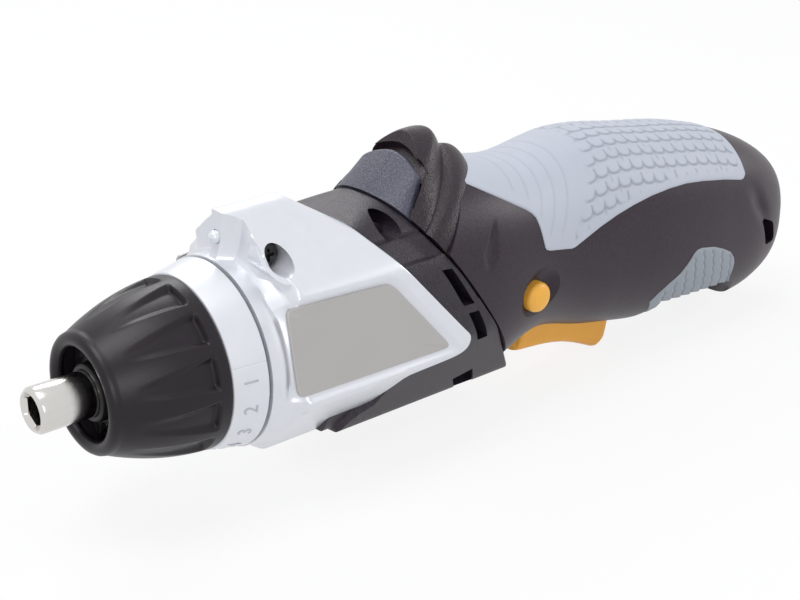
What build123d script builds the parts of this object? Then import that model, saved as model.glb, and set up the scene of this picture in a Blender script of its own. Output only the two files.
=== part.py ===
from build123d import *
import math
import os

# Cordless screwdriver: quarter-inch bit holder, torque collar, and a handle that twists from straight to pistol.
# Millimetres and degrees. X runs back along the spindle from the mouth of the bit socket,
# Z is up and -Y is the left side.

# Fits
RUNNING_FIT = 0.08      # a shaft or ring that turns in a bore, on the radius
SLIDING_FIT = 0.3       # pieces of different bodies that pass each other
SEAT_FIT = 0.12         # pieces that sit in a pocket of the same body
SEAM_GAP = 0.4          # open line between two bodies' housings
TOOTH_BACKLASH = 0.16   # taken off each gear tooth's thickness
REACH = 400.0           # longer than the tool, for cutting blocks

# Bit holder and spindle
HEX_ACROSS_FLATS = 6.35
HEX_DEPTH = 12.0
BIT_HOLDER_RADIUS = 5.2
BIT_HOLDER_LENGTH = 24.0
BIT_HOLDER_CHAMFER = 0.8
MAGNET_RADIUS = 2.6
MAGNET_LENGTH = 3.0
SPINDLE_RADIUS = 4.0
SPIGOT_RADIUS = 3.0
BUSH_WALL = 1.6

# Gearbox: two planet stages of one tooth size
GEAR_MODULE = 0.6
SUN_TEETH = 9
PLANET_TEETH = 18
RING_TEETH = 45
PLANETS = 3
PRESSURE_ANGLE = 25.0
ADDENDUM = 0.75         # in modules
DEDENDUM = 1.0          # in modules
GEAR_WIDTH = 5.0
CARRIER_THICKNESS = 2.0
PLANET_PIN_RADIUS = 1.5
AXIAL_GAP = 0.4
RING_GEAR_WALL = 2.4
HOUSING_WALL = 0.8
FLANGE_THICKNESS = 2.6
PLATE_THICKNESS = 2.0

# Nose of the gearbox, in the collar's mouth
NOSE_FRONT = 17.2
NOSE_RADIUS = 9.0
NOSE_PLATE_RADIUS = 11.8
NOSE_PLATE_THICKNESS = 1.6
DUST_CAP_FRONT = 13.2
DUST_CAP_RADIUS = 6.6
DUST_CAP_FLANGE = 7.4
NOSE_WASHER_RADIUS = 8.3
NOSE_WASHER_THICKNESS = 0.6
NOSE_SCREW_CIRCLE = 9.9
NOSE_SCREW_RADIUS = 1.5
NOSE_SCREWS = 3
GEARBOX_FRONT = 41.0

# Torque collar, number ring and clutch
COLLAR_FRONT = 11.5
COLLAR_MOUTH_RADIUS = 10.55
COLLAR_LIP_RADIUS = 13.6
COLLAR_REAR = 37.0
COLLAR_REAR_RADIUS = 20.1
COLLAR_BULGE = 1.3
COLLAR_BORE = 16.0
COLLAR_FLANGE_THICKNESS = 2.4
FLUTES = 12
FLUTE_FRONT = 18.0
FLUTE_REAR = 34.5
FLUTE_WIDTH = 5.4
FLUTE_DEPTH = 1.5
RING_REAR = 45.4
RING_FRONT_RADIUS = 20.3
RING_REAR_RADIUS = 22.0
RING_SPIGOT_LENGTH = 3.5
RING_SPIGOT_WALL = 1.4
NUT_FRONT = 25.5
NUT_THICKNESS = 4.0
NUT_RADIUS = 14.6
NUT_KEYS = 3
NUT_KEY_WIDTH = 4.0
NUT_KEY_HEIGHT = 0.9
WASHER_THICKNESS = 1.2
CLUTCH_BALLS = 6
CLUTCH_BALL_CIRCLE = 14.6
CLUTCH_SPRING_RADIUS = 12.0
CLUTCH_SPRING_WIRE = 0.65
CLUTCH_SPRING_TURNS = 3.5

# Motor
MOTOR_RADIUS = 12.2
MOTOR_CAN_LENGTH = 28.6
MOTOR_CAN_WALL = 1.0
MOTOR_CAP_THICKNESS = 2.2
MOTOR_SHAFT_RADIUS = 1.5
MAGNET_THICKNESS = 1.8
MAGNET_ARC = 120.0
ARMATURE_RADIUS = 8.9
ARMATURE_LENGTH = 14.0
ARMATURE_SETBACK = 4.2
ARMATURE_SLOTS = 5
COMMUTATOR_RADIUS = 4.0
COMMUTATOR_LENGTH = 5.0
BRUSH_WIDTH = 2.6
BRUSH_LENGTH = 3.2

# Head: the silver front case and the black motor case, both split at Y = 0
CASE_WALL = 2.4
CASE_LAP = 1.2          # the black case is drawn in this much where it runs inside the silver one
CASE_FRONT_RADIUS = 22.3
RIDGE_HEIGHT = 33.0
RIDGE_HALF_WIDTH = 4.0
ROOF_ANGLE = 40.0
SHOULDER_HALF_WIDTH = 21.4
WAIST_HALF_WIDTH = 26.0
WAIST_HEIGHT = -6.5
BELLY_HALF_WIDTH = 8.0
BELLY_HEIGHT = -24.2
BLOCK_FRONT = 46.0
BLOCK_HALF_WIDTH = 13.2
RIDGE_REAR = 65.0
HIP_REAR = 76.0
HIP_HEIGHT = 26.0
FLARE_LENGTH = 6.0
SILVER_REAR = 98.0      # where the silver case's slanted rear edge would meet the spindle's axis
SILVER_SLANT = 0.83     # how far that edge runs forward for each unit of height
PAD_LOW = -8.8
PAD_CORNER = 101.0
SKIRT_REAR = 83.0
SKIRT_FRONT = 70.0
MOTOR_CASE_FRONT = 66.0
MOTOR_CASE_ARC_HEIGHT = 5.0
MOTOR_CASE_ARC_RADIUS = 23.2
MOTOR_CASE_WAIST_HALF = 22.8
MOTOR_CASE_WAIST_HEIGHT = -5.0
MOTOR_CASE_BELLY_HALF = 12.9
MOTOR_CASE_TOP_FRONT = 24.4
RIB_THICKNESS = 2.0
PLATE_TOP_HEIGHT = 15.6
PLATE_LOW_HEIGHT = -4.0
PLATE_FRONT = 50.6
PLATE_TOP_REAR = 79.6
PLATE_LOW_REAR = 95.0
PLATE_SINK = 1.0
LABEL_THICKNESS = 0.6
LAMP_HEIGHT = 27.0
LAMP_RADIUS = 1.5
LAMP_LENGTH = 6.0
LAMP_FLANGE = 1.0
LAMP_STEP = 0.4
CASE_SCREW_X = 54.6
CASE_SCREW_Z = 23.8
CASE_SCREW_SEAT = 8.0
CASE_RECESS_RADIUS = 3.0
MOTOR_SCREW_X = 84.3
MOTOR_SCREW_Z = 21.5
MOTOR_RECESS_RADIUS = 3.9
SCREW_HEAD_RADIUS = 2.5
SCREW_HEAD_HEIGHT = 1.8
SCREW_SHANK_RADIUS = 1.4
SCREW_LENGTH = 16.0
BOSS_WALL = 1.5
VENT_WIDTH = 2.9
VENT_LENGTHS = (12.5, 10.5)
VENT_OFFSETS = (15.2, 0.6)
VENT_SETBACK = 6.5

# Twist joint: a slanted plane between head and handle, turned about its own normal
SEAM_X = 108.6          # where the seam plane crosses the spindle's axis
SEAM_TILT = 35.0        # its normal rises this much towards the rear
PIVOT_HEIGHT = 2.9
HUMP_EDGE_HEIGHT = 16.2
END_WALL = 4.5
PIVOT_RADIUS = 13.0
PIVOT_BORE = 9.5
PIVOT_FLANGE_RADIUS = 15.8
PIVOT_FLANGE_THICKNESS = 3.0
FRONT_WALL = 2.8

# Hump over the twist joint: a hood with a lock button below it
HUMP_SLICES = (         # height over the floor, half width, length behind the seam, bluntness
    (0.0, 20.8, 26.4, 1.55),
    (3.0, 20.4, 26.1, 1.53),
    (5.2, 18.6, 24.6, 1.43),
    (6.0, 17.1, 23.0, 1.33),
    (9.0, 15.2, 23.3, 1.46),
    (11.3, 12.9, 23.1, 1.78),
    (14.3, 10.2, 21.6, 2.0),
    (16.5, 7.2, 18.8, 2.0),
)
HUMP_SLICE_POINTS = 13
HOOD_CUT_HEIGHT = 10.0
HOOD_CUT_SLOPE = 0.4
BUTTON_SLICES = (       # distance behind the seam, half width, shoulder height, rise of the arch
    (0.2, 12.6, 7.8, 7.0),
    (10.0, 8.6, 12.6, 3.0),
    (11.4, 6.4, 12.9, 2.5),
)
BUTTON_BLUNTNESS = 2.6
BUTTON_FLOOR = 1.2
BUTTON_TRAVEL = 2.0
LOCK_PIN_RADIUS = 1.3
LOCK_PIN_RISE = 2.7
LOCK_TRACK_DEPTH = 3.0
LOCK_SPRING_RADIUS = 2.4
LOCK_SPRING_WIRE = 0.4
LOCK_SPRING_LENGTH = 10.0
LOCK_SPRING_TURNS = 7

# Handle: stations along X with the section's top, bottom and half width, then its wall
HANDLE_STATIONS = (
    (84.0, 31.5, -26.0, 22.6),
    (112.0, 31.0, -26.0, 22.4),
    (136.0, 26.9, -19.0, 20.4),
    (158.0, 29.4, -24.0, 20.6),
    (180.0, 26.2, -28.2, 21.2),
    (203.0, 22.0, -31.0, 20.4),
    (221.5, 16.4, -30.0, 18.4),
    (232.4, 10.6, -26.2, 14.6),
    (238.5, 4.4, -21.0, 8.6),
    (240.4, -2.0, -14.6, 4.6),
)
SECTION_POWER = 2.4
HANDLE_WALL = 2.4
HANDLE_DROOP = 13.0
NOTCH_FRONT = 172.6
NOTCH_RISE = 6.0
NOTCH_DEPTH = 7.6
NOTCH_REAR = 212.0
GRIP_THICKNESS = 1.4
GRIP_GROOVE = 0.5
GRIP_PROUD = 0.3
PAD_THICKNESS = 1.4
TRIGGER_FRONT = 136.6
TRIGGER_LENGTH = 34.0
TRIGGER_TOP = -18.0     # height of the shell's underside at the trigger's front
TRIGGER_HALF_WIDTH = 7.0
TRIGGER_DROP_FRONT = 7.4
TRIGGER_DROP_REAR = 8.6
TRIGGER_SCOOP = 1.6
TRIGGER_TRAVEL = 4.0
TRIGGER_FLANGE = 2.0
TRIGGER_STEM = 3.4
SWITCH_LENGTH = 20.0
SWITCH_WIDTH = 12.0
SWITCH_HEIGHT = 10.0
SWITCH_RISE = 13.5      # from the shell's underside to the switch's bottom
PLUNGER_RADIUS = 2.0
TRIGGER_SPRING_RADIUS = 3.1
TRIGGER_SPRING_WIRE = 0.4
TRIGGER_SPRING_TURNS = 5
DIRECTION_X = 127.5
DIRECTION_Z = -2.8
DIRECTION_RADIUS = 3.9
DIRECTION_HALF_LENGTH = 21.6
CELL_RADIUS = 7.05
CELL_LENGTH = 42.0
CELL_TIP_RADIUS = 2.8
CELL_TIP_LENGTH = 1.6
CELLS_X = 196.5
CELLS_Z = -1.0
STRAP_THICKNESS = 0.3
BOARD_SETBACK = 15.0     # from the cells' end
BOARD_SIZE = 13.0
BOARD_THICKNESS = 1.6
JACK_RADIUS = 3.8
JACK_BORE = 2.75
JACK_PIN_RADIUS = 1.0
JACK_LENGTH = 8.5
SLOT_X = 226.2
SLOT_Z = -11.2
SLOT_WIDTH = 4.2
SLOT_HEIGHT = 11.0
SLOT_TILT = 32.0
SLOT_WALL = 1.5
LEAD_RADIUS = 0.8
LEAD_SPACING = 2.6
LEAD_BEND = 3.5
HANDLE_SCREWS = ((122.0, -11.0), (152.6, 20.5), (228.0, 6.0))
HANDLE_SCREW_SEAT = 9.0

# Places worked out from the sizes above
FLANGE_REAR = GEARBOX_FRONT + FLANGE_THICKNESS
RING_GEAR_FRONT = FLANGE_REAR + AXIAL_GAP
SECOND_CARRIER = RING_GEAR_FRONT
SECOND_GEARS = SECOND_CARRIER + CARRIER_THICKNESS + AXIAL_GAP
FIRST_CARRIER = SECOND_GEARS + GEAR_WIDTH + AXIAL_GAP
FIRST_GEARS = FIRST_CARRIER + CARRIER_THICKNESS + AXIAL_GAP
PLATE_FACE = FIRST_GEARS + GEAR_WIDTH + AXIAL_GAP
MOTOR_FRONT = PLATE_FACE + PLATE_THICKNESS
MOTOR_CAP = MOTOR_FRONT + MOTOR_CAN_LENGTH
MOTOR_REAR = MOTOR_CAP + MOTOR_CAP_THICKNESS
GEAR_CENTRES = GEAR_MODULE * (SUN_TEETH + PLANET_TEETH) / 2
RING_PITCH_RADIUS = GEAR_MODULE * RING_TEETH / 2
RING_GEAR_RADIUS = RING_PITCH_RADIUS + GEAR_MODULE * DEDENDUM + RING_GEAR_WALL
HOUSING_RADIUS = RING_GEAR_RADIUS + SEAT_FIT + HOUSING_WALL
CARRIER_RADIUS = GEAR_CENTRES + PLANET_PIN_RADIUS + 1.3
CASE_FRONT = RING_REAR + SEAM_GAP / 2
PIVOT_X = SEAM_X - PIVOT_HEIGHT * math.tan(math.radians(SEAM_TILT))
SEAM_NORMAL = (math.cos(math.radians(SEAM_TILT)), 0, math.sin(math.radians(SEAM_TILT)))
SEAM = Plane(origin=(PIVOT_X, 0, PIVOT_HEIGHT), x_dir=(0, 1, 0), z_dir=SEAM_NORMAL)
HUMP_EDGE = (HUMP_EDGE_HEIGHT - PIVOT_HEIGHT) / math.cos(math.radians(SEAM_TILT))
LOCK_PIN_AT = HUMP_EDGE + LOCK_PIN_RISE
DROOP_AXIS = (math.cos(math.radians(HANDLE_DROOP)), 0, -math.sin(math.radians(HANDLE_DROOP)))
UNDERSIDE = Plane(origin=(TRIGGER_FRONT, 0, TRIGGER_TOP), x_dir=DROOP_AXIS, z_dir=(0, -1, 0))
CELL_PLANE = Plane(origin=(CELLS_X, 0, CELLS_Z), x_dir=(0, 1, 0), z_dir=DROOP_AXIS)


def rod(front, rear, radius, y=0.0, z=0.0):
    """A round bar along X."""
    return extrude(Plane.YZ.offset(front) * Pos(y, z) * Circle(radius), amount=rear - front)


def tube(front, rear, outer, inner):
    """A round sleeve along X."""
    return rod(front, rear, outer) - rod(front, rear, inner)


def cross_bar(x, z, y_from, y_to, radius):
    """A round bar along Y."""
    face = Plane(origin=(x, y_from, z), x_dir=(1, 0, 0), z_dir=(0, 1, 0)) * Circle(radius)
    return extrude(face, amount=y_to - y_from)


def side_plate(points, half_width):
    """A plate whose outline is drawn in the X-Z plane, as thick to either side of the middle plane."""
    return extrude(Plane.XZ * make_face(Polyline(*points, close=True)), amount=half_width, both=True)


def slab(front, rear):
    """Everything between two planes across the spindle."""
    return Pos((front + rear) / 2, 0, 0) * Box(rear - front, REACH, REACH)


def half(side):
    """The left (-1) or right (+1) half of space."""
    return Pos(0, side * REACH / 2, 0) * Box(2 * REACH, REACH, REACH)


def behind_seam(offset):
    """The handle's side of the seam plane, from offset on."""
    return SEAM * Pos(0, 0, offset + REACH / 2) * Box(REACH, REACH, REACH)


def in_front_of_seam(offset):
    """The head's side of the seam plane, up to offset."""
    return SEAM * Pos(0, 0, offset - REACH / 2) * Box(REACH, REACH, REACH)


def ring_of(piece, count, first=0.0):
    """Copies of a piece, evenly spaced about the spindle's axis."""
    return [Rot(first + i * 360 / count, 0, 0) * piece for i in range(count)]


def coil(length, turns, mean_radius, wire_radius):
    """A helical spring that stands on the X-Y plane."""
    height = length - 2 * wire_radius
    path = Helix(pitch=height / turns, height=height, radius=mean_radius)
    profile = Plane(origin=path @ 0, z_dir=path % 0) * Circle(wire_radius)
    return Pos(0, 0, wire_radius) * sweep(profile, path=path, is_frenet=True)


# Gears

def involute(angle):
    return math.tan(angle) - angle


def tooth_half_angle(radius, pitch_radius, thickness):
    """Half the angle that an involute tooth takes up at a radius, from its thickness at the pitch circle."""
    base = pitch_radius * math.cos(math.radians(PRESSURE_ANGLE))
    here = math.acos(min(1.0, base / radius))
    return thickness / (2 * pitch_radius) + involute(math.radians(PRESSURE_ANGLE)) - involute(here)


def gear_outline(teeth, inner_radius, outer_radius, thickness, phase):
    """A closed outline with straight-flanked teeth, wide at the inner radius and narrow at the outer one."""
    pitch_radius = GEAR_MODULE * teeth / 2
    root = tooth_half_angle(max(inner_radius, pitch_radius * 0.93), pitch_radius, thickness)
    tip = tooth_half_angle(outer_radius, pitch_radius, thickness)
    points = []
    for i in range(teeth):
        middle = phase + 2 * math.pi * i / teeth
        for radius, angle in ((inner_radius, -root), (outer_radius, -tip), (outer_radius, tip), (inner_radius, root)):
            points.append((radius * math.cos(middle + angle), radius * math.sin(middle + angle)))
    return make_face(Polyline(*points, close=True))


TOOTH_THICKNESS = math.pi * GEAR_MODULE / 2 - TOOTH_BACKLASH
SPACE_THICKNESS = math.pi * GEAR_MODULE / 2 + TOOTH_BACKLASH


def spur(teeth, phase):
    pitch_radius = GEAR_MODULE * teeth / 2
    root, tip = pitch_radius - DEDENDUM * GEAR_MODULE, pitch_radius + ADDENDUM * GEAR_MODULE
    return gear_outline(teeth, root, tip, TOOTH_THICKNESS, phase)


def planet_angles():
    return [math.pi / 2 + 2 * math.pi * i / PLANETS for i in range(PLANETS)]


def planet_phase(place):
    """Turns a planet so that one of its gaps faces a tooth of the sun, whose first tooth stands at angle 0."""
    sun_share = place * SUN_TEETH / (2 * math.pi)
    return place + math.pi - (2 * math.pi / PLANET_TEETH) * (0.5 - sun_share)


def ring_phase():
    """Turns the ring gear so that its first tooth space takes the tooth of the first planet."""
    place = planet_angles()[0]
    planet_share = (place - planet_phase(place)) * PLANET_TEETH / (2 * math.pi)
    return place - (2 * math.pi / RING_TEETH) * planet_share


def planet_gear(front, place):
    """One planet wheel at its place about the spindle, bored for its pin."""
    y, z = GEAR_CENTRES * math.cos(place), GEAR_CENTRES * math.sin(place)
    face = spur(PLANET_TEETH, planet_phase(place)) - Circle(PLANET_PIN_RADIUS + RUNNING_FIT)
    return extrude(Plane.YZ.offset(front) * Pos(y, z) * face, amount=GEAR_WIDTH)


def carrier(front):
    """A disc with one pin for each planet, the pins pointing back."""
    disc = rod(front, front + CARRIER_THICKNESS, CARRIER_RADIUS)
    pin_end = front + CARRIER_THICKNESS + AXIAL_GAP + GEAR_WIDTH
    for place in planet_angles():
        y, z = GEAR_CENTRES * math.cos(place), GEAR_CENTRES * math.sin(place)
        disc += rod(front, pin_end, PLANET_PIN_RADIUS, y, z)
    return disc


def ring_gear():
    tip = RING_PITCH_RADIUS - ADDENDUM * GEAR_MODULE
    root = RING_PITCH_RADIUS + DEDENDUM * GEAR_MODULE
    space = gear_outline(RING_TEETH, tip, root, SPACE_THICKNESS, ring_phase())
    face = Plane.YZ.offset(RING_GEAR_FRONT) * (Circle(RING_GEAR_RADIUS) - space)
    return extrude(face, amount=PLATE_FACE - RING_GEAR_FRONT)


# Spindle

def bit_holder():
    """Turned sleeve with the hex socket in front and the spindle's spigot behind."""
    body = rod(0, BIT_HOLDER_LENGTH, BIT_HOLDER_RADIUS)
    body = chamfer(body.edges().filter_by(GeomType.CIRCLE).sort_by(Axis.X)[0], BIT_HOLDER_CHAMFER)
    hexagon = RegularPolygon(HEX_ACROSS_FLATS / 2, 6, major_radius=False)
    body -= extrude(Plane.YZ * hexagon, amount=HEX_DEPTH)
    mouth = Cone(HEX_ACROSS_FLATS / math.sqrt(3) + 0.4, HEX_ACROSS_FLATS / 2, 0.6)
    body -= Plane.YZ * Pos(0, 0, 0.3) * mouth
    body -= rod(HEX_DEPTH, HEX_DEPTH + MAGNET_LENGTH, MAGNET_RADIUS + SEAT_FIT)
    return body - rod(spigot_front(), BIT_HOLDER_LENGTH, SPIGOT_RADIUS + SEAT_FIT)


def spigot_front():
    return HEX_DEPTH + MAGNET_LENGTH + 2.0


def spindle():
    shaft = rod(BIT_HOLDER_LENGTH, SECOND_CARRIER + CARRIER_THICKNESS, SPINDLE_RADIUS)
    return shaft + rod(spigot_front() + SEAT_FIT, BIT_HOLDER_LENGTH, SPIGOT_RADIUS) + carrier(SECOND_CARRIER)


def first_carrier():
    """Disc and pins of the first stage with the second stage's sun gear in front."""
    sun = extrude(Plane.YZ.offset(SECOND_GEARS) * spur(SUN_TEETH, 0.0), amount=FIRST_CARRIER - SECOND_GEARS)
    return carrier(FIRST_CARRIER) + sun


# Nose and gearbox housing

def dust_cap():
    bore = BIT_HOLDER_RADIUS + SLIDING_FIT
    rear = NOSE_FRONT - NOSE_WASHER_THICKNESS
    return tube(DUST_CAP_FRONT, rear, DUST_CAP_RADIUS, bore) + tube(rear - 0.8, rear, DUST_CAP_FLANGE, bore)


def nose_washer():
    return tube(NOSE_FRONT - NOSE_WASHER_THICKNESS, NOSE_FRONT, NOSE_WASHER_RADIUS, BIT_HOLDER_RADIUS + SLIDING_FIT)


def nose_screw_places():
    angles = [math.radians(40 + 360 * i / NOSE_SCREWS) for i in range(NOSE_SCREWS)]
    return [(NOSE_SCREW_CIRCLE * math.cos(a), NOSE_SCREW_CIRCLE * math.sin(a)) for a in angles]


def nose_plate():
    """Disc on the end of the nose that keeps the collar on."""
    plate = tube(NOSE_FRONT, NOSE_FRONT + NOSE_PLATE_THICKNESS, NOSE_PLATE_RADIUS, BIT_HOLDER_RADIUS + SLIDING_FIT)
    for y, z in nose_screw_places():
        plate -= rod(NOSE_FRONT, NOSE_FRONT + NOSE_PLATE_THICKNESS, NOSE_SCREW_RADIUS / 2 + SEAT_FIT, y, z)
    return plate


def nose_screws():
    """Flat-headed screws whose heads stand on the nose plate."""
    screws = []
    for y, z in nose_screw_places():
        head = rod(NOSE_FRONT - 1.0, NOSE_FRONT, NOSE_SCREW_RADIUS, y, z)
        slot = Pos(NOSE_FRONT - 1.0, y, z) * Box(0.8, 0.5, 2.2)
        screws.append(head - slot + rod(NOSE_FRONT, NOSE_FRONT + NOSE_PLATE_THICKNESS, NOSE_SCREW_RADIUS / 2, y, z))
    return screws


def gearbox_housing():
    """Nose tube, flange with the clutch ball holes, and the barrel round the ring gear."""
    nose = rod(NOSE_FRONT + NOSE_PLATE_THICKNESS, FLANGE_REAR, NOSE_RADIUS)
    flange = rod(GEARBOX_FRONT, FLANGE_REAR, HOUSING_RADIUS)
    barrel = tube(FLANGE_REAR, MOTOR_FRONT, HOUSING_RADIUS, RING_GEAR_RADIUS + SEAT_FIT)
    body = nose + flange + barrel
    body -= rod(0, BIT_HOLDER_LENGTH + AXIAL_GAP, BIT_HOLDER_RADIUS + SLIDING_FIT)
    body -= rod(0, FLANGE_REAR, SPINDLE_RADIUS + RUNNING_FIT + BUSH_WALL + SEAT_FIT)
    hole = rod(GEARBOX_FRONT, FLANGE_REAR, ball_radius() + SEAT_FIT, 0, CLUTCH_BALL_CIRCLE)
    for cut in ring_of(hole, CLUTCH_BALLS):
        body -= cut
    return body


def spindle_bush():
    front = BIT_HOLDER_LENGTH + AXIAL_GAP
    return tube(front, FLANGE_REAR, SPINDLE_RADIUS + RUNNING_FIT + BUSH_WALL, SPINDLE_RADIUS + RUNNING_FIT)


def gearbox_plate():
    """Disc between the gears and the motor, bored for the pinion."""
    bore = GEAR_MODULE * (SUN_TEETH / 2 + ADDENDUM) + SLIDING_FIT
    return tube(PLATE_FACE, MOTOR_FRONT, RING_GEAR_RADIUS, bore)


# Clutch and collar

def ball_radius():
    return (RING_GEAR_FRONT - GEARBOX_FRONT) / 2


def clutch_balls():
    ball = Pos(GEARBOX_FRONT + ball_radius(), 0, CLUTCH_BALL_CIRCLE) * Sphere(ball_radius() - 0.02)
    return ring_of(ball, CLUTCH_BALLS)


def thrust_washer():
    return tube(GEARBOX_FRONT - WASHER_THICKNESS, GEARBOX_FRONT, NUT_RADIUS + 1.2, NOSE_RADIUS + SEAT_FIT)


def nut_key(extra):
    """One key of the adjusting nut, or with extra room the groove that takes it."""
    height = NUT_KEY_HEIGHT + 2.0 + extra
    middle = NUT_RADIUS + NUT_KEY_HEIGHT + extra - height / 2
    return middle, NUT_KEY_WIDTH + 2 * extra, height


def adjusting_nut():
    body = tube(NUT_FRONT, NUT_FRONT + NUT_THICKNESS, NUT_RADIUS, NOSE_RADIUS + SLIDING_FIT)
    middle, width, height = nut_key(0.0)
    key = Pos(NUT_FRONT + NUT_THICKNESS / 2, 0, middle) * Box(NUT_THICKNESS, width, height)
    for piece in ring_of(key, NUT_KEYS):
        body += piece
    return body


def clutch_spring():
    front = NUT_FRONT + NUT_THICKNESS + 0.1
    length = GEARBOX_FRONT - WASHER_THICKNESS - 0.1 - front
    spring = coil(length, CLUTCH_SPRING_TURNS, CLUTCH_SPRING_RADIUS, CLUTCH_SPRING_WIRE)
    return Plane.YZ.offset(front) * spring


def collar_outline():
    """Half section of the collar: rounded lip, swelling cone, and the stepped bore."""
    lip = (COLLAR_FRONT, (COLLAR_MOUTH_RADIUS + COLLAR_LIP_RADIUS) / 2)
    cone_front = (COLLAR_FRONT + 2.4, COLLAR_LIP_RADIUS + 0.4)
    middle_x = (cone_front[0] + COLLAR_REAR) / 2
    middle = (middle_x, (cone_front[1] + COLLAR_REAR_RADIUS) / 2 + COLLAR_BULGE)
    rear = (COLLAR_REAR, COLLAR_REAR_RADIUS)
    shoulder = NOSE_FRONT + NOSE_PLATE_THICKNESS + SLIDING_FIT
    bearing = NOSE_RADIUS + RUNNING_FIT
    counterbore = COLLAR_REAR - RING_SPIGOT_LENGTH
    spigot = COLLAR_BORE + RING_SPIGOT_WALL
    inside = [
        rear,
        (COLLAR_REAR, spigot),
        (counterbore, spigot),
        (counterbore, COLLAR_BORE),
        (shoulder + COLLAR_FLANGE_THICKNESS, COLLAR_BORE),
        (shoulder + COLLAR_FLANGE_THICKNESS, bearing),
        (shoulder, bearing),
        (shoulder, NOSE_PLATE_RADIUS + SLIDING_FIT),
        (COLLAR_FRONT + 3.0, NOSE_PLATE_RADIUS + SLIDING_FIT),
        (COLLAR_FRONT + 1.6, COLLAR_MOUTH_RADIUS),
    ]
    outside = ThreePointArc(inside[-1], (COLLAR_FRONT + 0.5, COLLAR_MOUTH_RADIUS + 0.4), lip)
    nose = ThreePointArc(lip, (COLLAR_FRONT + 0.7, COLLAR_LIP_RADIUS - 0.3), cone_front)
    return make_face([outside, nose, ThreePointArc(cone_front, middle, rear), Polyline(*inside)])


def flute():
    """A wedge that widens and deepens to the rear, below the top of the collar."""
    def section(x, radius, width):
        base = Plane(origin=(x, 0, radius), x_dir=(0, 1, 0), z_dir=(1, 0, 0))
        return base * Pos(0, 4.0) * Trapezoid(width + 4.0, 8.0, 105)
    front_radius = collar_radius(FLUTE_FRONT)
    rear_radius = collar_radius(FLUTE_REAR) - FLUTE_DEPTH
    narrow = section(FLUTE_FRONT, front_radius, FLUTE_WIDTH * 0.35)
    wide = section(FLUTE_REAR, rear_radius, FLUTE_WIDTH)
    return loft([narrow, wide])


def collar_radius(x):
    """Outside radius of the collar's swelling cone."""
    front_x, front_r = COLLAR_FRONT + 2.4, COLLAR_LIP_RADIUS + 0.4
    t = (x - front_x) / (COLLAR_REAR - front_x)
    return front_r + t * (COLLAR_REAR_RADIUS - front_r) + 4 * t * (1 - t) * COLLAR_BULGE


def collar_grip():
    body = revolve(Plane.XY * collar_outline(), Axis.X)
    middle, width, height = nut_key(SLIDING_FIT)
    front = NOSE_FRONT + NOSE_PLATE_THICKNESS + SLIDING_FIT + COLLAR_FLANGE_THICKNESS
    groove_length = COLLAR_REAR - front
    groove = Pos(front + groove_length / 2, 0, middle) * Box(groove_length, width, height)
    for cut in ring_of(groove, NUT_KEYS):
        body -= cut
    for cut in ring_of(flute(), FLUTES, 180 / FLUTES):
        body -= cut
    return body


def number_ring():
    """Silver ring behind the grip, running on the gearbox barrel, with a spigot inside the grip."""
    rear = RING_REAR - SEAM_GAP / 2
    bore = HOUSING_RADIUS + RUNNING_FIT
    spigot = COLLAR_BORE + RING_SPIGOT_WALL - SEAT_FIT
    front = COLLAR_REAR - RING_SPIGOT_LENGTH + SEAT_FIT
    points = [
        (COLLAR_REAR, RING_FRONT_RADIUS),
        (rear, RING_REAR_RADIUS),
        (rear, bore),
        (GEARBOX_FRONT - SLIDING_FIT, bore),
        (GEARBOX_FRONT - SLIDING_FIT, COLLAR_BORE),
        (front, COLLAR_BORE),
        (front, spigot),
        (COLLAR_REAR, spigot),
    ]
    body = revolve(Plane.XY * make_face(Polyline(*points, close=True)), Axis.X)
    middle, width, height = nut_key(SLIDING_FIT)
    groove = Pos((front + GEARBOX_FRONT) / 2, 0, middle) * Box(GEARBOX_FRONT - front, width, height)
    for cut in ring_of(groove, NUT_KEYS):
        body -= cut
    return body


# Motor

def motor_can():
    can = rod(MOTOR_FRONT, MOTOR_CAP, MOTOR_RADIUS)
    can -= rod(MOTOR_FRONT + MOTOR_CAN_WALL, MOTOR_CAP, MOTOR_RADIUS - MOTOR_CAN_WALL)
    return can - rod(MOTOR_FRONT, MOTOR_CAP, MOTOR_SHAFT_RADIUS + RUNNING_FIT)


def motor_magnets():
    """Two curved magnets against the inside of the can, left and right of the armature."""
    outer = MOTOR_RADIUS - MOTOR_CAN_WALL
    front = MOTOR_FRONT + ARMATURE_SETBACK
    ring = tube(front, front + ARMATURE_LENGTH, outer, outer - MAGNET_THICKNESS)
    height = 2 * outer * math.sin(math.radians(MAGNET_ARC / 2))
    return [ring & Pos(front, side * outer, 0) * Box(REACH, 2 * outer, height) for side in (-1, 1)]


def motor_end_cap():
    """Plastic cap with the rear bearing and two brush slots."""
    cap = rod(MOTOR_CAP, MOTOR_REAR, MOTOR_RADIUS)
    plug = tube(MOTOR_CAP - 2.0, MOTOR_CAP, MOTOR_RADIUS - MOTOR_CAN_WALL - SEAT_FIT, MOTOR_RADIUS - 3.5)
    return cap + plug - rod(MOTOR_CAP, MOTOR_REAR, MOTOR_SHAFT_RADIUS + RUNNING_FIT)


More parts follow.
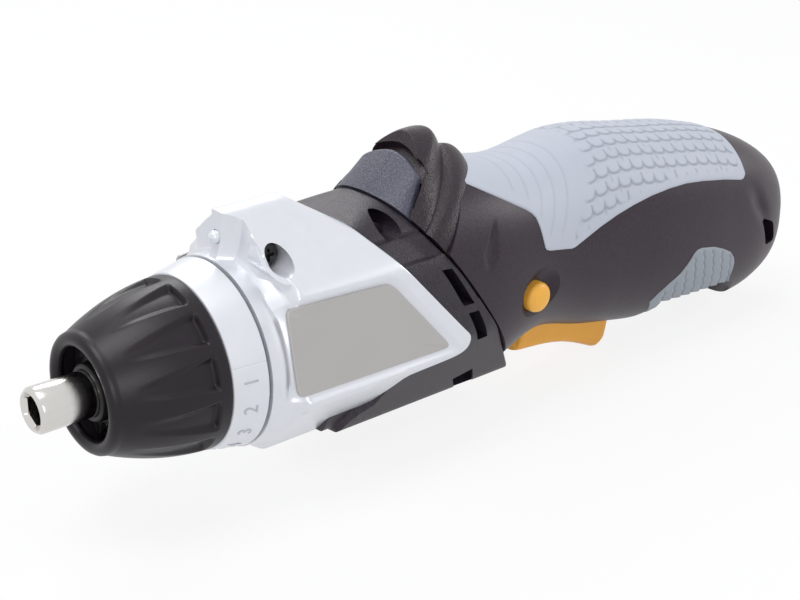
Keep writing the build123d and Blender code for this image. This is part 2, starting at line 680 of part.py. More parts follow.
def motor_brushes():
    """Carbon brushes on either side of the commutator, held by springs on the end cap."""
    x = commutator_front() + COMMUTATOR_LENGTH / 2
    reach = MOTOR_RADIUS - 3.5 - SLIDING_FIT
    brushes = []
    for side in (-1, 1):
        block = Pos(x, 0, side * (COMMUTATOR_RADIUS + RUNNING_FIT + BRUSH_LENGTH / 2))
        leaf_height = reach - COMMUTATOR_RADIUS
        leaf = Pos(x + BRUSH_WIDTH / 2, 0, side * (reach - leaf_height / 2))
        post_length = MOTOR_CAP - x - BRUSH_WIDTH / 2
        post = Pos(MOTOR_CAP - post_length / 2, 0, side * (reach - 0.6))
        brush = block * Box(BRUSH_WIDTH, BRUSH_WIDTH, BRUSH_LENGTH)
        brush += leaf * Box(0.6, BRUSH_WIDTH, leaf_height - 0.2)
        brushes.append(brush + post * Box(post_length, BRUSH_WIDTH, 0.8))
    return brushes


def commutator_front():
    return MOTOR_CAP - 2.4 - COMMUTATOR_LENGTH


def rotor_shaft():
    """Steel shaft with the pinion cut on its front end."""
    pinion = extrude(Plane.YZ.offset(FIRST_GEARS) * spur(SUN_TEETH, 0.0), amount=MOTOR_FRONT - 0.5 - FIRST_GEARS)
    return pinion + rod(MOTOR_FRONT - 0.5, MOTOR_REAR - 0.2, MOTOR_SHAFT_RADIUS)


def armature():
    """Slotted stack of laminations with the windings at either end."""
    front = MOTOR_FRONT + ARMATURE_SETBACK
    stack = rod(front, front + ARMATURE_LENGTH, ARMATURE_RADIUS)
    slot = Pos(front + ARMATURE_LENGTH / 2, 0, ARMATURE_RADIUS - 1.6) * Box(ARMATURE_LENGTH, 1.8, 4.4)
    for cut in ring_of(slot, ARMATURE_SLOTS):
        stack -= cut
    winding = rod(front - 1.8, front + ARMATURE_LENGTH + 1.8, ARMATURE_RADIUS - 2.6)
    return stack + winding - rod(front - 1.8, front + ARMATURE_LENGTH + 1.8, MOTOR_SHAFT_RADIUS)


def commutator():
    front = commutator_front()
    body = tube(front, front + COMMUTATOR_LENGTH, COMMUTATOR_RADIUS, MOTOR_SHAFT_RADIUS)
    slit = Pos(front + COMMUTATOR_LENGTH / 2, 0, COMMUTATOR_RADIUS) * Box(COMMUTATOR_LENGTH, 0.5, 1.2)
    for cut in ring_of(slit, ARMATURE_SLOTS):
        body -= cut
    return body


# Head housings

def mirrored(points):
    return points + [(-y, z) for y, z in reversed(points)]


def head_section():
    """Cross section of the silver case: a roof over sides that lean out, and a flat belly."""
    drop = math.tan(math.radians(ROOF_ANGLE))
    eave = RIDGE_HEIGHT - 0.7
    shoulder = eave - (SHOULDER_HALF_WIDTH - RIDGE_HALF_WIDTH) * drop
    points = mirrored([
        (RIDGE_HALF_WIDTH, eave),
        (SHOULDER_HALF_WIDTH, shoulder),
        (WAIST_HALF_WIDTH, WAIST_HEIGHT),
        (BELLY_HALF_WIDTH, BELLY_HEIGHT),
    ])
    face = make_face(Polyline((0, RIDGE_HEIGHT), *points, close=True))
    corners = face.vertices()
    face = fillet([v for v in corners if abs(abs(v.X) - RIDGE_HALF_WIDTH) < 0.01], 3.0)
    corners = face.vertices()
    face = fillet([v for v in corners if abs(abs(v.X) - SHOULDER_HALF_WIDTH) < 0.01], 7.0)
    corners = face.vertices()
    face = fillet([v for v in corners if abs(abs(v.X) - WAIST_HALF_WIDTH) < 0.01], 5.0)
    corners = face.vertices()
    return fillet([v for v in corners if abs(abs(v.X) - BELLY_HALF_WIDTH) < 0.01], 9.0)


def silver_profile():
    """Side view of the silver case: hip behind the ridge, slanted rear edge, pad corner and the skirt below it."""
    slant_top = SILVER_REAR - SILVER_SLANT * HIP_HEIGHT
    pad_rear = SILVER_REAR + SILVER_SLANT * 2.0
    return [
        (CASE_FRONT, RIDGE_HEIGHT + 1),
        (RIDGE_REAR, RIDGE_HEIGHT),
        (min(HIP_REAR, slant_top), HIP_HEIGHT),
        (pad_rear, -2.0),
        (PAD_CORNER, -3.6),
        (PAD_CORNER - 1.0, PAD_LOW + 2.4),
        (PAD_CORNER - 4.0, PAD_LOW),
        (SKIRT_REAR + 2.0, PAD_LOW),
        (SKIRT_REAR, PAD_LOW - 2.2),
        (SKIRT_REAR - 4.5, -18.0),
        (SKIRT_FRONT + 3.0, -20.6),
        (SKIRT_FRONT, BELLY_HEIGHT - 1),
        (CASE_FRONT, BELLY_HEIGHT - 1),
    ]


def front_flare():
    """Round front of the silver case, which opens out behind the number ring, and the lamp block above it."""
    outer = WAIST_HALF_WIDTH + RIDGE_HEIGHT
    arc = ThreePointArc(
        (CASE_FRONT + 1.0, CASE_FRONT_RADIUS),
        (CASE_FRONT + FLARE_LENGTH * 0.62, CASE_FRONT_RADIUS + 2.0),
        (CASE_FRONT + FLARE_LENGTH, CASE_FRONT_RADIUS + 7.0),
    )
    lines = Polyline(
        (CASE_FRONT + FLARE_LENGTH, CASE_FRONT_RADIUS + 7.0),
        (CASE_FRONT + FLARE_LENGTH, outer),
        (PAD_CORNER + 5, outer),
        (PAD_CORNER + 5, 0),
        (CASE_FRONT, 0),
        (CASE_FRONT, CASE_FRONT_RADIUS),
        (CASE_FRONT + 1.0, CASE_FRONT_RADIUS),
    )
    flare = revolve(Plane.XY * make_face([arc, lines]), Axis.X)
    length = PAD_CORNER - BLOCK_FRONT
    height = RIDGE_HEIGHT - CASE_FRONT_RADIUS / 2
    block = Pos(BLOCK_FRONT + length / 2, 0, RIDGE_HEIGHT - height / 2) * Box(length, 2 * BLOCK_HALF_WIDTH, height)
    return flare + block


def motor_section():
    """Cross section of the black case: arched top, upright sides and a narrower flat belly."""
    drop = MOTOR_CASE_ARC_RADIUS ** 2 - MOTOR_CASE_WAIST_HALF ** 2
    spring_line = MOTOR_CASE_ARC_HEIGHT + math.sqrt(max(drop, 0.01))
    top = (0, MOTOR_CASE_ARC_HEIGHT + MOTOR_CASE_ARC_RADIUS)
    right = [
        (MOTOR_CASE_WAIST_HALF, spring_line),
        (MOTOR_CASE_WAIST_HALF, MOTOR_CASE_WAIST_HEIGHT),
        (MOTOR_CASE_BELLY_HALF, BELLY_HEIGHT),
    ]
    points = mirrored(right)
    face = make_face([ThreePointArc(points[-1], top, points[0]), Polyline(*points)])
    corners = face.vertices()
    low = [v for v in corners if v.Y < MOTOR_CASE_WAIST_HEIGHT + 0.01]
    return fillet(low, 5.0)


def motor_profile():
    """Side view of the black case, which starts inside the silver one and rises to the seam."""
    top = MOTOR_CASE_ARC_HEIGHT + MOTOR_CASE_ARC_RADIUS
    seam_at_top = SEAM_X - top * math.tan(math.radians(SEAM_TILT))
    return [
        (MOTOR_CASE_FRONT, MOTOR_CASE_TOP_FRONT - 2.5),
        (HIP_REAR - 2.0, MOTOR_CASE_TOP_FRONT),
        (seam_at_top, top),
        (seam_at_top, top + 5),
        (SEAM_X + 40, top + 5),
        (SEAM_X + 40, BELLY_HEIGHT),
        (SKIRT_FRONT + SLIDING_FIT, BELLY_HEIGHT),
        (SKIRT_FRONT + SLIDING_FIT, BELLY_HEIGHT + 6.0),
        (MOTOR_CASE_FRONT, BELLY_HEIGHT + 10.0),
    ]


def prism(section, front, rear):
    return extrude(Plane.YZ.offset(front) * section, amount=rear - front)


def motor_block(inset):
    """The black case as a full block, drawn in all round by an inset."""
    section = motor_section() if inset == 0 else offset(motor_section(), amount=-inset)
    block = prism(section, MOTOR_CASE_FRONT, SEAM_X + 40)
    lowered = Pos(0, 0, -inset) * side_plate(motor_profile(), REACH / 2)
    return block & lowered & in_front_of_seam(-SEAM_GAP / 2)


def motor_outer():
    """The black case's outside: full where it shows, drawn in where it runs inside the silver case."""
    return motor_block(0.0) - silver_outer() + motor_block(CASE_LAP)


def silver_outer():
    block = prism(head_section(), CASE_FRONT, PAD_CORNER + 4)
    return block & side_plate(silver_profile(), REACH / 2) & front_flare()


def side_lean():
    """The side face's lean: sideways run for each unit of height."""
    drop = math.tan(math.radians(ROOF_ANGLE))
    shoulder = RIDGE_HEIGHT - 0.7 - (SHOULDER_HALF_WIDTH - RIDGE_HALF_WIDTH) * drop
    return (WAIST_HALF_WIDTH - SHOULDER_HALF_WIDTH) / (shoulder - WAIST_HEIGHT)


def plate_plane(side, depth):
    """Plane parallel to the leaning side face, a depth below it."""
    lean = side_lean()
    normal = Vector(0, side, lean).normalized()
    origin = Vector(0, side * (WAIST_HALF_WIDTH - lean * (0 - WAIST_HEIGHT)), 0) - normal * depth
    return Plane(origin=origin, x_dir=(1, 0, 0), z_dir=normal)


def side_plate_block(side, growth, bottom, top):
    """The label plate's four-sided outline as a block on the leaning side face, between two depths below it."""
    plane = plate_plane(side, bottom)
    up = math.sqrt(1 + side_lean() ** 2)
    corners = [
        (PLATE_FRONT, PLATE_TOP_HEIGHT),
        (PLATE_TOP_REAR, PLATE_TOP_HEIGHT - 1.4),
        (PLATE_LOW_REAR, PLATE_LOW_HEIGHT - 0.8),
        (PLATE_FRONT, PLATE_LOW_HEIGHT),
    ]
    flip = -side
    face = make_face(Polyline(*[(x, flip * z * up) for x, z in corners], close=True))
    face = fillet(face.vertices(), 1.5)
    return extrude(plane * offset(face, amount=growth), amount=bottom - top)


def screw_boss(x, z, radius):
    return cross_bar(x, z, -REACH / 8, REACH / 8, radius)


def screw_cut(x, z, seat, radius, side):
    """Recess and shank hole of a screw driven across the case from one side."""
    head = cross_bar(x, z, side * seat, side * REACH / 4, radius)
    tip = side * (seat - SCREW_LENGTH - 1.0)
    return head + cross_bar(x, z, tip, side * seat, SCREW_SHANK_RADIUS + SEAT_FIT)


def screw(x, z, seat, side):
    head = cross_bar(x, z, side * seat, side * (seat + SCREW_HEAD_HEIGHT), SCREW_HEAD_RADIUS)
    top = side * (seat + SCREW_HEAD_HEIGHT)
    cross = Pos(x, top, z) * (Box(3.0, 1.6, 0.7) + Box(0.7, 1.6, 3.0))
    return head - cross + cross_bar(x, z, side * (seat - SCREW_LENGTH), side * seat, SCREW_SHANK_RADIUS)


def lamp_hole():
    """Stepped hole for the lamp and its flange."""
    flange = BLOCK_FRONT + LAMP_LENGTH - LAMP_FLANGE
    hole = rod(BLOCK_FRONT - 1, flange + 1, LAMP_RADIUS + SEAT_FIT, 0, LAMP_HEIGHT)
    return hole + rod(flange - SEAT_FIT, flange + 3, LAMP_RADIUS + LAMP_STEP + SEAT_FIT, 0, LAMP_HEIGHT)


def front_case():
    """Hollow silver case, whole, with the ribs that hold the gearbox and the boss of its screw."""
    outer = silver_outer()
    room = prism(offset(head_section(), amount=-CASE_WALL), CASE_FRONT + CASE_WALL, PAD_CORNER + 4)
    room &= slab(CASE_FRONT + CASE_WALL, MOTOR_CASE_FRONT - SEAT_FIT)
    rib = slab(MOTOR_FRONT - 2 * RIB_THICKNESS, MOTOR_FRONT - RIB_THICKNESS)
    boss = screw_boss(CASE_SCREW_X, CASE_SCREW_Z, CASE_RECESS_RADIUS + BOSS_WALL)
    shelf = Pos(BLOCK_FRONT + LAMP_LENGTH / 2, 0, LAMP_HEIGHT - LAMP_RADIUS - 1.0)
    room -= rib + boss + shelf * Box(LAMP_LENGTH + 2, 8, 2.0 - 2 * SEAT_FIT)
    body = outer - room - motor_room()
    for block in (motor_block(CASE_LAP - SEAT_FIT), motor_block(CASE_LAP)):
        body -= block
    body -= rod(CASE_FRONT - 1, MOTOR_CASE_FRONT, HOUSING_RADIUS + SEAT_FIT)
    body -= screw_cut(CASE_SCREW_X, CASE_SCREW_Z, CASE_SCREW_SEAT, CASE_RECESS_RADIUS, -1)
    body -= screw_cut(MOTOR_SCREW_X, MOTOR_SCREW_Z, CASE_SCREW_SEAT, MOTOR_RECESS_RADIUS, -1)
    body -= lamp_hole()
    for side in (-1, 1):
        body -= side_plate_block(side, SEAT_FIT, PLATE_SINK, -4.0)
    return body


def motor_room():
    """Space inside the black case, up to the end wall at the seam."""
    inside = prism(offset(motor_section(), amount=-CASE_WALL), MOTOR_CASE_FRONT - 1, SEAM_X + 40)
    lowered = Pos(0, 0, -CASE_WALL) * side_plate(motor_profile(), REACH / 2)
    lowered += Pos(-CASE_WALL, 0, 0) * side_plate(motor_profile(), REACH / 2) & slab(0, SKIRT_FRONT)
    room = inside & lowered & in_front_of_seam(-SEAM_GAP / 2 - END_WALL)
    floor = Pos(0, 0, BELLY_HEIGHT + CASE_WALL / 2) * Box(2 * REACH, REACH, CASE_WALL)
    return room - floor


def pivot_spigot():
    """Flanged tube on the head's end wall, which the handle's front wall turns on."""
    flange_at = SEAM_GAP / 2 + FRONT_WALL + SLIDING_FIT
    end = flange_at + PIVOT_FLANGE_THICKNESS
    root = SEAM_GAP / 2 + END_WALL
    stem = SEAM * extrude(Pos(0, 0, -root) * Circle(PIVOT_RADIUS), amount=end + root)
    flange = SEAM * extrude(Pos(0, 0, flange_at) * Circle(PIVOT_FLANGE_RADIUS), amount=PIVOT_FLANGE_THICKNESS)
    return stem + flange


def pivot_bore():
    return SEAM * extrude(Pos(0, 0, -30) * Circle(PIVOT_BORE), amount=60)


def lock_track():
    """Half-circle groove in the head's end wall that the lock pin runs in, which stops the twist at both ends."""
    reach = LOCK_PIN_RADIUS + SLIDING_FIT
    inner, outer = LOCK_PIN_AT - reach, LOCK_PIN_AT + reach
    ring = Circle(outer) - Circle(inner)
    left = ring & Pos(-outer, 0) * Rectangle(2 * outer, 3 * outer)
    ends = Pos(0, LOCK_PIN_AT) * Circle(reach) + Pos(0, -LOCK_PIN_AT) * Circle(reach)
    bottom = -SEAM_GAP / 2 - LOCK_TRACK_DEPTH
    return SEAM * extrude(Pos(0, 0, bottom) * (left + ends), amount=LOCK_TRACK_DEPTH + SEAM_GAP)


def vent(index, side):
    """One slot in the side of the black case, parallel to the seam."""
    length = VENT_LENGTHS[index]
    top = VENT_OFFSETS[index] - PIVOT_HEIGHT
    middle = top / math.cos(math.radians(SEAM_TILT)) - length / 2
    place = SEAM * Pos(side * MOTOR_CASE_WAIST_HALF, middle, -VENT_SETBACK)
    return place * Box(12, length, VENT_WIDTH)


def motor_case():
    """Hollow black case, whole, with the ribs round the motor, the end wall and the pivot."""
    body = motor_outer()
    room = motor_room()
    for front in (MOTOR_CASE_FRONT + 2.0, MOTOR_CAP - 2 * RIB_THICKNESS):
        room -= slab(front, front + RIB_THICKNESS)
    room -= screw_boss(MOTOR_SCREW_X, MOTOR_SCREW_Z, SCREW_HEAD_RADIUS + BOSS_WALL)
    body -= room
    body += pivot_spigot()
    body -= pivot_bore() + lock_track()
    body -= rod(MOTOR_CASE_FRONT - 1, MOTOR_REAR + AXIAL_GAP, MOTOR_RADIUS + SEAT_FIT)
    body -= screw_cut(MOTOR_SCREW_X, MOTOR_SCREW_Z, CASE_SCREW_SEAT, MOTOR_RECESS_RADIUS, -1)
    for side in (-1, 1):
        for index in range(len(VENT_LENGTHS)):
            body -= vent(index, side)
    return body


def lamp():
    """Five-millimetre class lamp diode: dome, stem and flange."""
    front = BLOCK_FRONT + LAMP_RADIUS
    body = rod(front, BLOCK_FRONT + LAMP_LENGTH, LAMP_RADIUS, 0, LAMP_HEIGHT)
    body += Pos(front, 0, LAMP_HEIGHT) * Sphere(LAMP_RADIUS)
    rear = BLOCK_FRONT + LAMP_LENGTH
    return body + rod(rear - LAMP_FLANGE, rear, LAMP_RADIUS + LAMP_STEP, 0, LAMP_HEIGHT)


def label_plate(side):
    return side_plate_block(side, 0.0, PLATE_SINK - 0.02, PLATE_SINK - 0.02 - LABEL_THICKNESS)


# Handle

def handle_section(station, inset):
    """One cross section: a rounded oval through its top, bottom and half width."""
    x, top, bottom, half_width = station
    middle, rise, width = (top + bottom) / 2, (top - bottom) / 2 - inset, half_width - inset
    points = []
    for step in range(16):
        angle = 2 * math.pi * step / 16
        c, s = math.cos(angle), math.sin(angle)
        y = math.copysign(abs(c) ** (2 / SECTION_POWER), c) * width
        z = math.copysign(abs(s) ** (2 / SECTION_POWER), s) * rise
        points.append((y, middle + z))
    return Plane.YZ.offset(x) * make_face(Spline(*points, periodic=True))


def handle_loft(inset):
    """The handle's form, drawn in all round by an inset."""
    stations = [list(s) for s in HANDLE_STATIONS]
    stations[-1][0] -= inset
    return loft([handle_section(s, inset) for s in stations])


def wedge_above():
    """Space taken by the hump: behind the seam and above its edge."""
    return SEAM * Pos(0, HUMP_EDGE + REACH / 2, REACH / 2) * Box(REACH, REACH, REACH)


def notch_points(inset):
    """Side view of the finger notch below the handle, or of the wall above it."""
    start = station_bottom(NOTCH_FRONT)
    low = start - 30
    deep = start + NOTCH_DEPTH
    return [
        (NOTCH_FRONT, low),
        (NOTCH_FRONT, start - 0.5),
        (NOTCH_FRONT + NOTCH_RISE, deep + inset),
        ((NOTCH_FRONT + NOTCH_REAR) / 2, deep - 1.2 + inset),
        (NOTCH_REAR - 4.0, deep - 1.6 + inset),
        (NOTCH_REAR + inset, deep - 4.0),
        (NOTCH_REAR + inset, low),
    ]


def station_bottom(x):
    """Height of the handle's underside at x, straight between the stations."""
    for a, b in zip(HANDLE_STATIONS, HANDLE_STATIONS[1:]):
        if a[0] <= x <= b[0]:
            return a[2] + (b[2] - a[2]) * (x - a[0]) / (b[0] - a[0])
    return HANDLE_STATIONS[-1][2]


def finger_notch(inset=0.0):
    return side_plate(notch_points(inset), REACH / 2)


def grip_points():
    """Side view of the soft grip's edge: front point, corner, low edge, rising sweep and rear end."""
    return [
        (96.0, 33.0),
        (107.0, 26.2),
        (124.0, 20.4),
        (127.0, 17.6),
        (129.0, 9.0),
        (139.5, 6.6),
        (149.4, 9.4),
        (162.0, 12.8),
        (176.0, 14.0),
        (192.0, 12.2),
        (213.0, 7.6),
        (215.6, 9.0),
        (217.5, 19.0),
        (217.5, 40.0),
        (96.0, 40.0),
    ]


def pad_points():
    """Side view of the finger pad's edge, on the notch and round its corner."""
    return [
        (177.0, -32.0),
        (180.0, -20.0),
        (185.5, -12.6),
        (190.6, -7.0),
        (199.6, -8.0),
        (207.8, -12.0),
        (211.0, -16.2),
        (210.4, -21.6),
        (207.0, -32.0),
    ]


def outline_block(points, growth):
    face = make_face(Polyline(*points, close=True))
    if growth:
        face = offset(face, amount=growth, kind=Kind.INTERSECTION)
    return extrude(Plane.XZ * face, amount=REACH / 4, both=True)


def trigger_slot():
    """Opening in the underside for the trigger, and the room above it for the flange's travel."""
    length = TRIGGER_LENGTH + 2 * SLIDING_FIT
    width = 2 * (TRIGGER_HALF_WIDTH + SLIDING_FIT)
    middle = TRIGGER_LENGTH / 2
    slot = Pos(middle, 2.0, 0) * Box(length, 24.0, width)
    wide = Pos(middle, HANDLE_WALL + 5.0, 0)
    return UNDERSIDE * (slot + wide * Box(length + 5.0, 10.0, width + 5.0))


def switch_place():
    return UNDERSIDE * Pos(TRIGGER_LENGTH / 2, SWITCH_RISE + SWITCH_HEIGHT / 2, 0)


def cell_places():
    reach = CELL_RADIUS + 0.05
    return [(u, v) for u in (-reach, reach) for v in (-reach, reach)]


def cell_room():
    """Room for the block of four cells, with a little play."""
    length = CELL_LENGTH + 2 * CELL_TIP_LENGTH + 1.0
    body = Box(2 * CELL_RADIUS, 2 * CELL_RADIUS, length)
    for u, v in cell_places():
        body += Pos(u, v, 0) * Cylinder(CELL_RADIUS + SEAT_FIT, length)
    return CELL_PLANE * body


def rear_plane():
    """Where the charge board stands: behind the cells, across the handle's axis."""
    return CELL_PLANE.offset(CELL_LENGTH / 2 + BOARD_SETBACK)


def handle_ribs():
    """Cross walls that hold the switch, the cells and the charge board."""
    front = HANDLE_STATIONS[2][0]
    switch_x = TRIGGER_FRONT + TRIGGER_LENGTH / 2
    ribs = slab(switch_x - 5.0, switch_x - 3.0) + slab(switch_x + 6.0, switch_x + 8.0)
    for along in (-CELL_LENGTH * 0.32, CELL_LENGTH * 0.32):
        ribs += CELL_PLANE * Pos(0, 0, along) * Box(REACH, REACH, RIB_THICKNESS)
    ribs += rear_plane() * Pos(0, 0, BOARD_THICKNESS + 1.2) * Box(REACH, REACH, RIB_THICKNESS)
    return ribs & slab(front, REACH)


def strap_slot(growth):
    """Tunnel across the rear end for a wrist strap, or with growth the walls round it."""
    bar = Box(SLOT_WIDTH + 2 * growth, REACH, SLOT_HEIGHT + 2 * growth)
    return Pos(SLOT_X, 0, SLOT_Z) * Rot(0, -SLOT_TILT, 0) * bar


def handle_shell(side):
    """One half of the hollow handle, drawn on the right, with the pivot's front wall, the ribs and the openings."""
    form = handle_loft(0.0)
    outer = form & half(1) & behind_seam(SEAM_GAP / 2)
    room = handle_loft(HANDLE_WALL) & behind_seam(SEAM_GAP / 2 + FRONT_WALL)
    room -= finger_notch(HANDLE_WALL)
    ribs = handle_ribs() - (switch_place() * Box(SWITCH_LENGTH + 0.3, SWITCH_HEIGHT + 0.3, SWITCH_WIDTH + 0.3))
    ribs -= cell_room() + trigger_slot()
    ribs -= UNDERSIDE * Pos(TRIGGER_LENGTH / 2, SWITCH_RISE + SWITCH_HEIGHT + LEAD_BEND, 0) * Box(
        SWITCH_LENGTH + 4.0, 6.0 * LEAD_BEND, 2 * LEAD_SPACING
    )
    room -= ribs
    for x, z in HANDLE_SCREWS:
        room -= screw_boss(x, z, SCREW_HEAD_RADIUS + BOSS_WALL)
    room -= strap_slot(SLOT_WALL)
    body = outer - room
    for cut in (wedge_above(), finger_notch(), trigger_slot()):
        body -= cut
    body -= SEAM * extrude(Circle(PIVOT_RADIUS + RUNNING_FIT), amount=FRONT_WALL + SEAM_GAP)
    body -= cross_bar(DIRECTION_X, DIRECTION_Z, -40, 40, DIRECTION_RADIUS + RUNNING_FIT)
    body -= strap_slot(0.0)
    body -= rear_plane() * Pos(0, 0, JACK_LENGTH - 3.0) * Cylinder(JACK_RADIUS + SEAT_FIT, 2 * JACK_LENGTH)
    body -= charge_board(SEAT_FIT)
    for x, z in HANDLE_SCREWS:
        body -= screw_cut(x, z, HANDLE_SCREW_SEAT, SCREW_HEAD_RADIUS + SLIDING_FIT, side)
    body -= outline_block(grip_points(), GRIP_GROOVE) - handle_loft(GRIP_THICKNESS)
    body -= outline_block(pad_points(), GRIP_GROOVE) - under_pad(PAD_THICKNESS)
    return body if side > 0 else mirror(body, Plane.XZ)


def under_pad(thickness):
    """What lies under the finger pad: the handle drawn in by the pad's thickness, above the notch."""
    return handle_loft(thickness) - finger_notch(thickness)


def soft_grip():
    """Rubber saddle over the top of the handle, standing a little proud of the shell."""
    saddle = outline_block(grip_points(), 0.0) & handle_loft(-GRIP_PROUD)
    saddle &= behind_seam(SEAM_GAP / 2)
    return saddle - wedge_above() - handle_loft(GRIP_THICKNESS - SEAT_FIT)


def finger_pad():
    """Rubber pad in the finger notch, lapping up the handle's sides."""
    block = outline_block(pad_points(), 0.0) & handle_loft(0.0)
    return block - finger_notch() - under_pad(PAD_THICKNESS - SEAT_FIT)


def blunt_arc(half_width, rise, bluntness, start):
    """Points along a blunt half oval, from the angle start on one side to the same angle on the other."""
    points = []
    for k in range(HUMP_SLICE_POINTS):
        turn = start + (math.pi - 2 * start) * k / (HUMP_SLICE_POINTS - 1)
        across = math.copysign(abs(math.cos(turn)) ** (2 / bluntness), math.cos(turn))
        points.append((half_width * across, rise * abs(math.sin(turn)) ** (2 / bluntness)))
    return points


def hump_slice(height, half_width, length, bluntness):
    """Slice of the hump level with its floor: a nose that points back, closed by a straight front edge."""
    front = max(SEAM_GAP / 2, (height - HOOD_CUT_HEIGHT) / HOOD_CUT_SLOPE)
    start = math.asin((front / length) ** (bluntness / 2))
    points = blunt_arc(half_width, length, bluntness, start)
    outline = Spline(*points) + Line(points[-1], points[0])
    return Plane(origin=(0, HUMP_EDGE + height, 0), x_dir=(1, 0, 0), z_dir=(0, -1, 0)) * make_face(outline)


def button_slice(depth, half_width, shoulder, rise):
    """Upright slice of the lock button: a blunt arch on straight sides."""
    bottom = BUTTON_FLOOR + SLIDING_FIT
    points = [(across, shoulder + high) for across, high in blunt_arc(half_width, rise, BUTTON_BLUNTNESS, 0.0)]
    sides = Polyline(points[-1], (-half_width, bottom), (half_width, bottom), points[0])
    return Pos(0, HUMP_EDGE, depth) * make_face(Spline(*points) + sides)


def pocket_rear():
    return BUTTON_SLICES[-1][0] + BUTTON_TRAVEL + SLIDING_FIT + 1.0


def button_pocket():
    """Pocket in the hump that the lock button slides back in, open in front and above."""
    front, middle, rear = BUTTON_SLICES
    corners = [(front[1] + SLIDING_FIT, -1.0), (front[1] + SLIDING_FIT, front[0] + BUTTON_TRAVEL)]
    corners.append((middle[1] + SLIDING_FIT, middle[0] + BUTTON_TRAVEL + SLIDING_FIT))
    corners.append((rear[1] + SLIDING_FIT, pocket_rear()))
    corners += [(-across, back) for across, back in reversed(corners)]
    plan = make_face(Polyline(*corners, close=True))
    floor = Plane(origin=(0, HUMP_EDGE + BUTTON_FLOOR, 0), x_dir=(1, 0, 0), z_dir=(0, -1, 0))
    return SEAM * extrude(floor * plan, amount=-REACH / 2)


def pivot_cap():
    """Hump moulding: a rounded foot, the hood over it, and the pocket for the lock button."""
    slices = [hump_slice(*row) for row in HUMP_SLICES]
    return SEAM * loft(slices, ruled=True) - button_pocket()


def lock_button():
    """Lobe that slides back into the hood, with the lock pin in front and a hole for its spring behind."""
    rear = BUTTON_SLICES[-1][0]
    body = SEAM * loft([button_slice(*row) for row in BUTTON_SLICES], ruled=True)
    pin = Pos(0, LOCK_PIN_AT, SLIDING_FIT - LOCK_TRACK_DEPTH)
    body += SEAM * extrude(pin * Circle(LOCK_PIN_RADIUS), amount=LOCK_TRACK_DEPTH + 2.0)
    hole = LOCK_SPRING_RADIUS + LOCK_SPRING_WIRE + SLIDING_FIT
    deep = LOCK_SPRING_LENGTH - (pocket_rear() - rear)
    return body - SEAM * extrude(Pos(0, lock_spring_height(), rear - deep - 0.1) * Circle(hole), amount=deep + 5)


def lock_spring_height():
    return HUMP_EDGE + BUTTON_FLOOR + LOCK_SPRING_RADIUS + LOCK_SPRING_WIRE + 2 * SLIDING_FIT + 1.0


def lock_spring():
    spring = coil(LOCK_SPRING_LENGTH - 0.2, LOCK_SPRING_TURNS, LOCK_SPRING_RADIUS, LOCK_SPRING_WIRE)
    return SEAM * Pos(0, lock_spring_height(), pocket_rear() - LOCK_SPRING_LENGTH + 0.1) * spring


# Trigger, direction button and electrics

def trigger():
    """Yellow trigger: scooped paddle below the shell, flange inside it and the plunger on top."""
    length, drop_front, drop_rear = TRIGGER_LENGTH, TRIGGER_DROP_FRONT, TRIGGER_DROP_REAR
    top = HANDLE_WALL + SLIDING_FIT
    scoop = ThreePointArc(
        (0, -drop_front), (length * 0.55, -(drop_front + drop_rear) / 2 + TRIGGER_SCOOP), (length - 2.5, -drop_rear)
    )
    rear_corner = (length - 0.6, -drop_rear + 1.8)
    sides = Polyline((length - 2.5, -drop_rear), rear_corner, (length, top), (0, top), (0, -drop_front))
    paddle = extrude(make_face([scoop, sides]), amount=TRIGGER_HALF_WIDTH, both=True)
    flange = Pos(length / 2, top + TRIGGER_FLANGE / 2, 0)
    paddle += flange * Box(length + 3.0, TRIGGER_FLANGE, 2 * TRIGGER_HALF_WIDTH + 3.0)
    body = UNDERSIDE * paddle
    bottom = top + TRIGGER_FLANGE
    stem = UNDERSIDE * Plane.XZ * Pos(length / 2, 0, -bottom)
    plunger = extrude(stem * Circle(PLUNGER_RADIUS), amount=-(SWITCH_RISE - bottom + TRIGGER_STEM))
    return body + plunger


def trigger_flange_top():
    return HANDLE_WALL + SLIDING_FIT + TRIGGER_FLANGE


def trigger_spring():
    length = SWITCH_RISE - trigger_flange_top() - 0.2
    spring = coil(length, TRIGGER_SPRING_TURNS, TRIGGER_SPRING_RADIUS, TRIGGER_SPRING_WIRE)
    return UNDERSIDE * Plane.XZ * Pos(TRIGGER_LENGTH / 2, 0, -trigger_flange_top() - 0.1) * Rot(180, 0, 0) * spring


def switch_body():
    """Switch block with the bore that the trigger's plunger runs in."""
    block = switch_place() * Box(SWITCH_LENGTH, SWITCH_HEIGHT, SWITCH_WIDTH)
    bore = UNDERSIDE * Plane.XZ * Pos(TRIGGER_LENGTH / 2, 0, -SWITCH_RISE)
    depth = TRIGGER_STEM + TRIGGER_TRAVEL + SLIDING_FIT
    return block - extrude(bore * Circle(PLUNGER_RADIUS + RUNNING_FIT), amount=-depth)


def direction_button():
    """Round bar through the handle, pushed from side to side, with domed ends."""
    bar = cross_bar(DIRECTION_X, DIRECTION_Z, -DIRECTION_HALF_LENGTH, DIRECTION_HALF_LENGTH, DIRECTION_RADIUS)
    return fillet(bar.edges().filter_by(GeomType.CIRCLE), 1.0)


def cells():
    """Four round cells, two of them turned end for end."""
    bodies = []
    for index, (u, v) in enumerate(cell_places()):
        turn = Rot(0, 180 * (index % 2), 0)
        can = Cylinder(CELL_RADIUS, CELL_LENGTH)
        tip = Pos(0, 0, CELL_LENGTH / 2 + CELL_TIP_LENGTH / 2) * Cylinder(CELL_TIP_RADIUS, CELL_TIP_LENGTH)
        bodies.append(CELL_PLANE * Pos(u, v, 0) * turn * (can + tip))
    return bodies


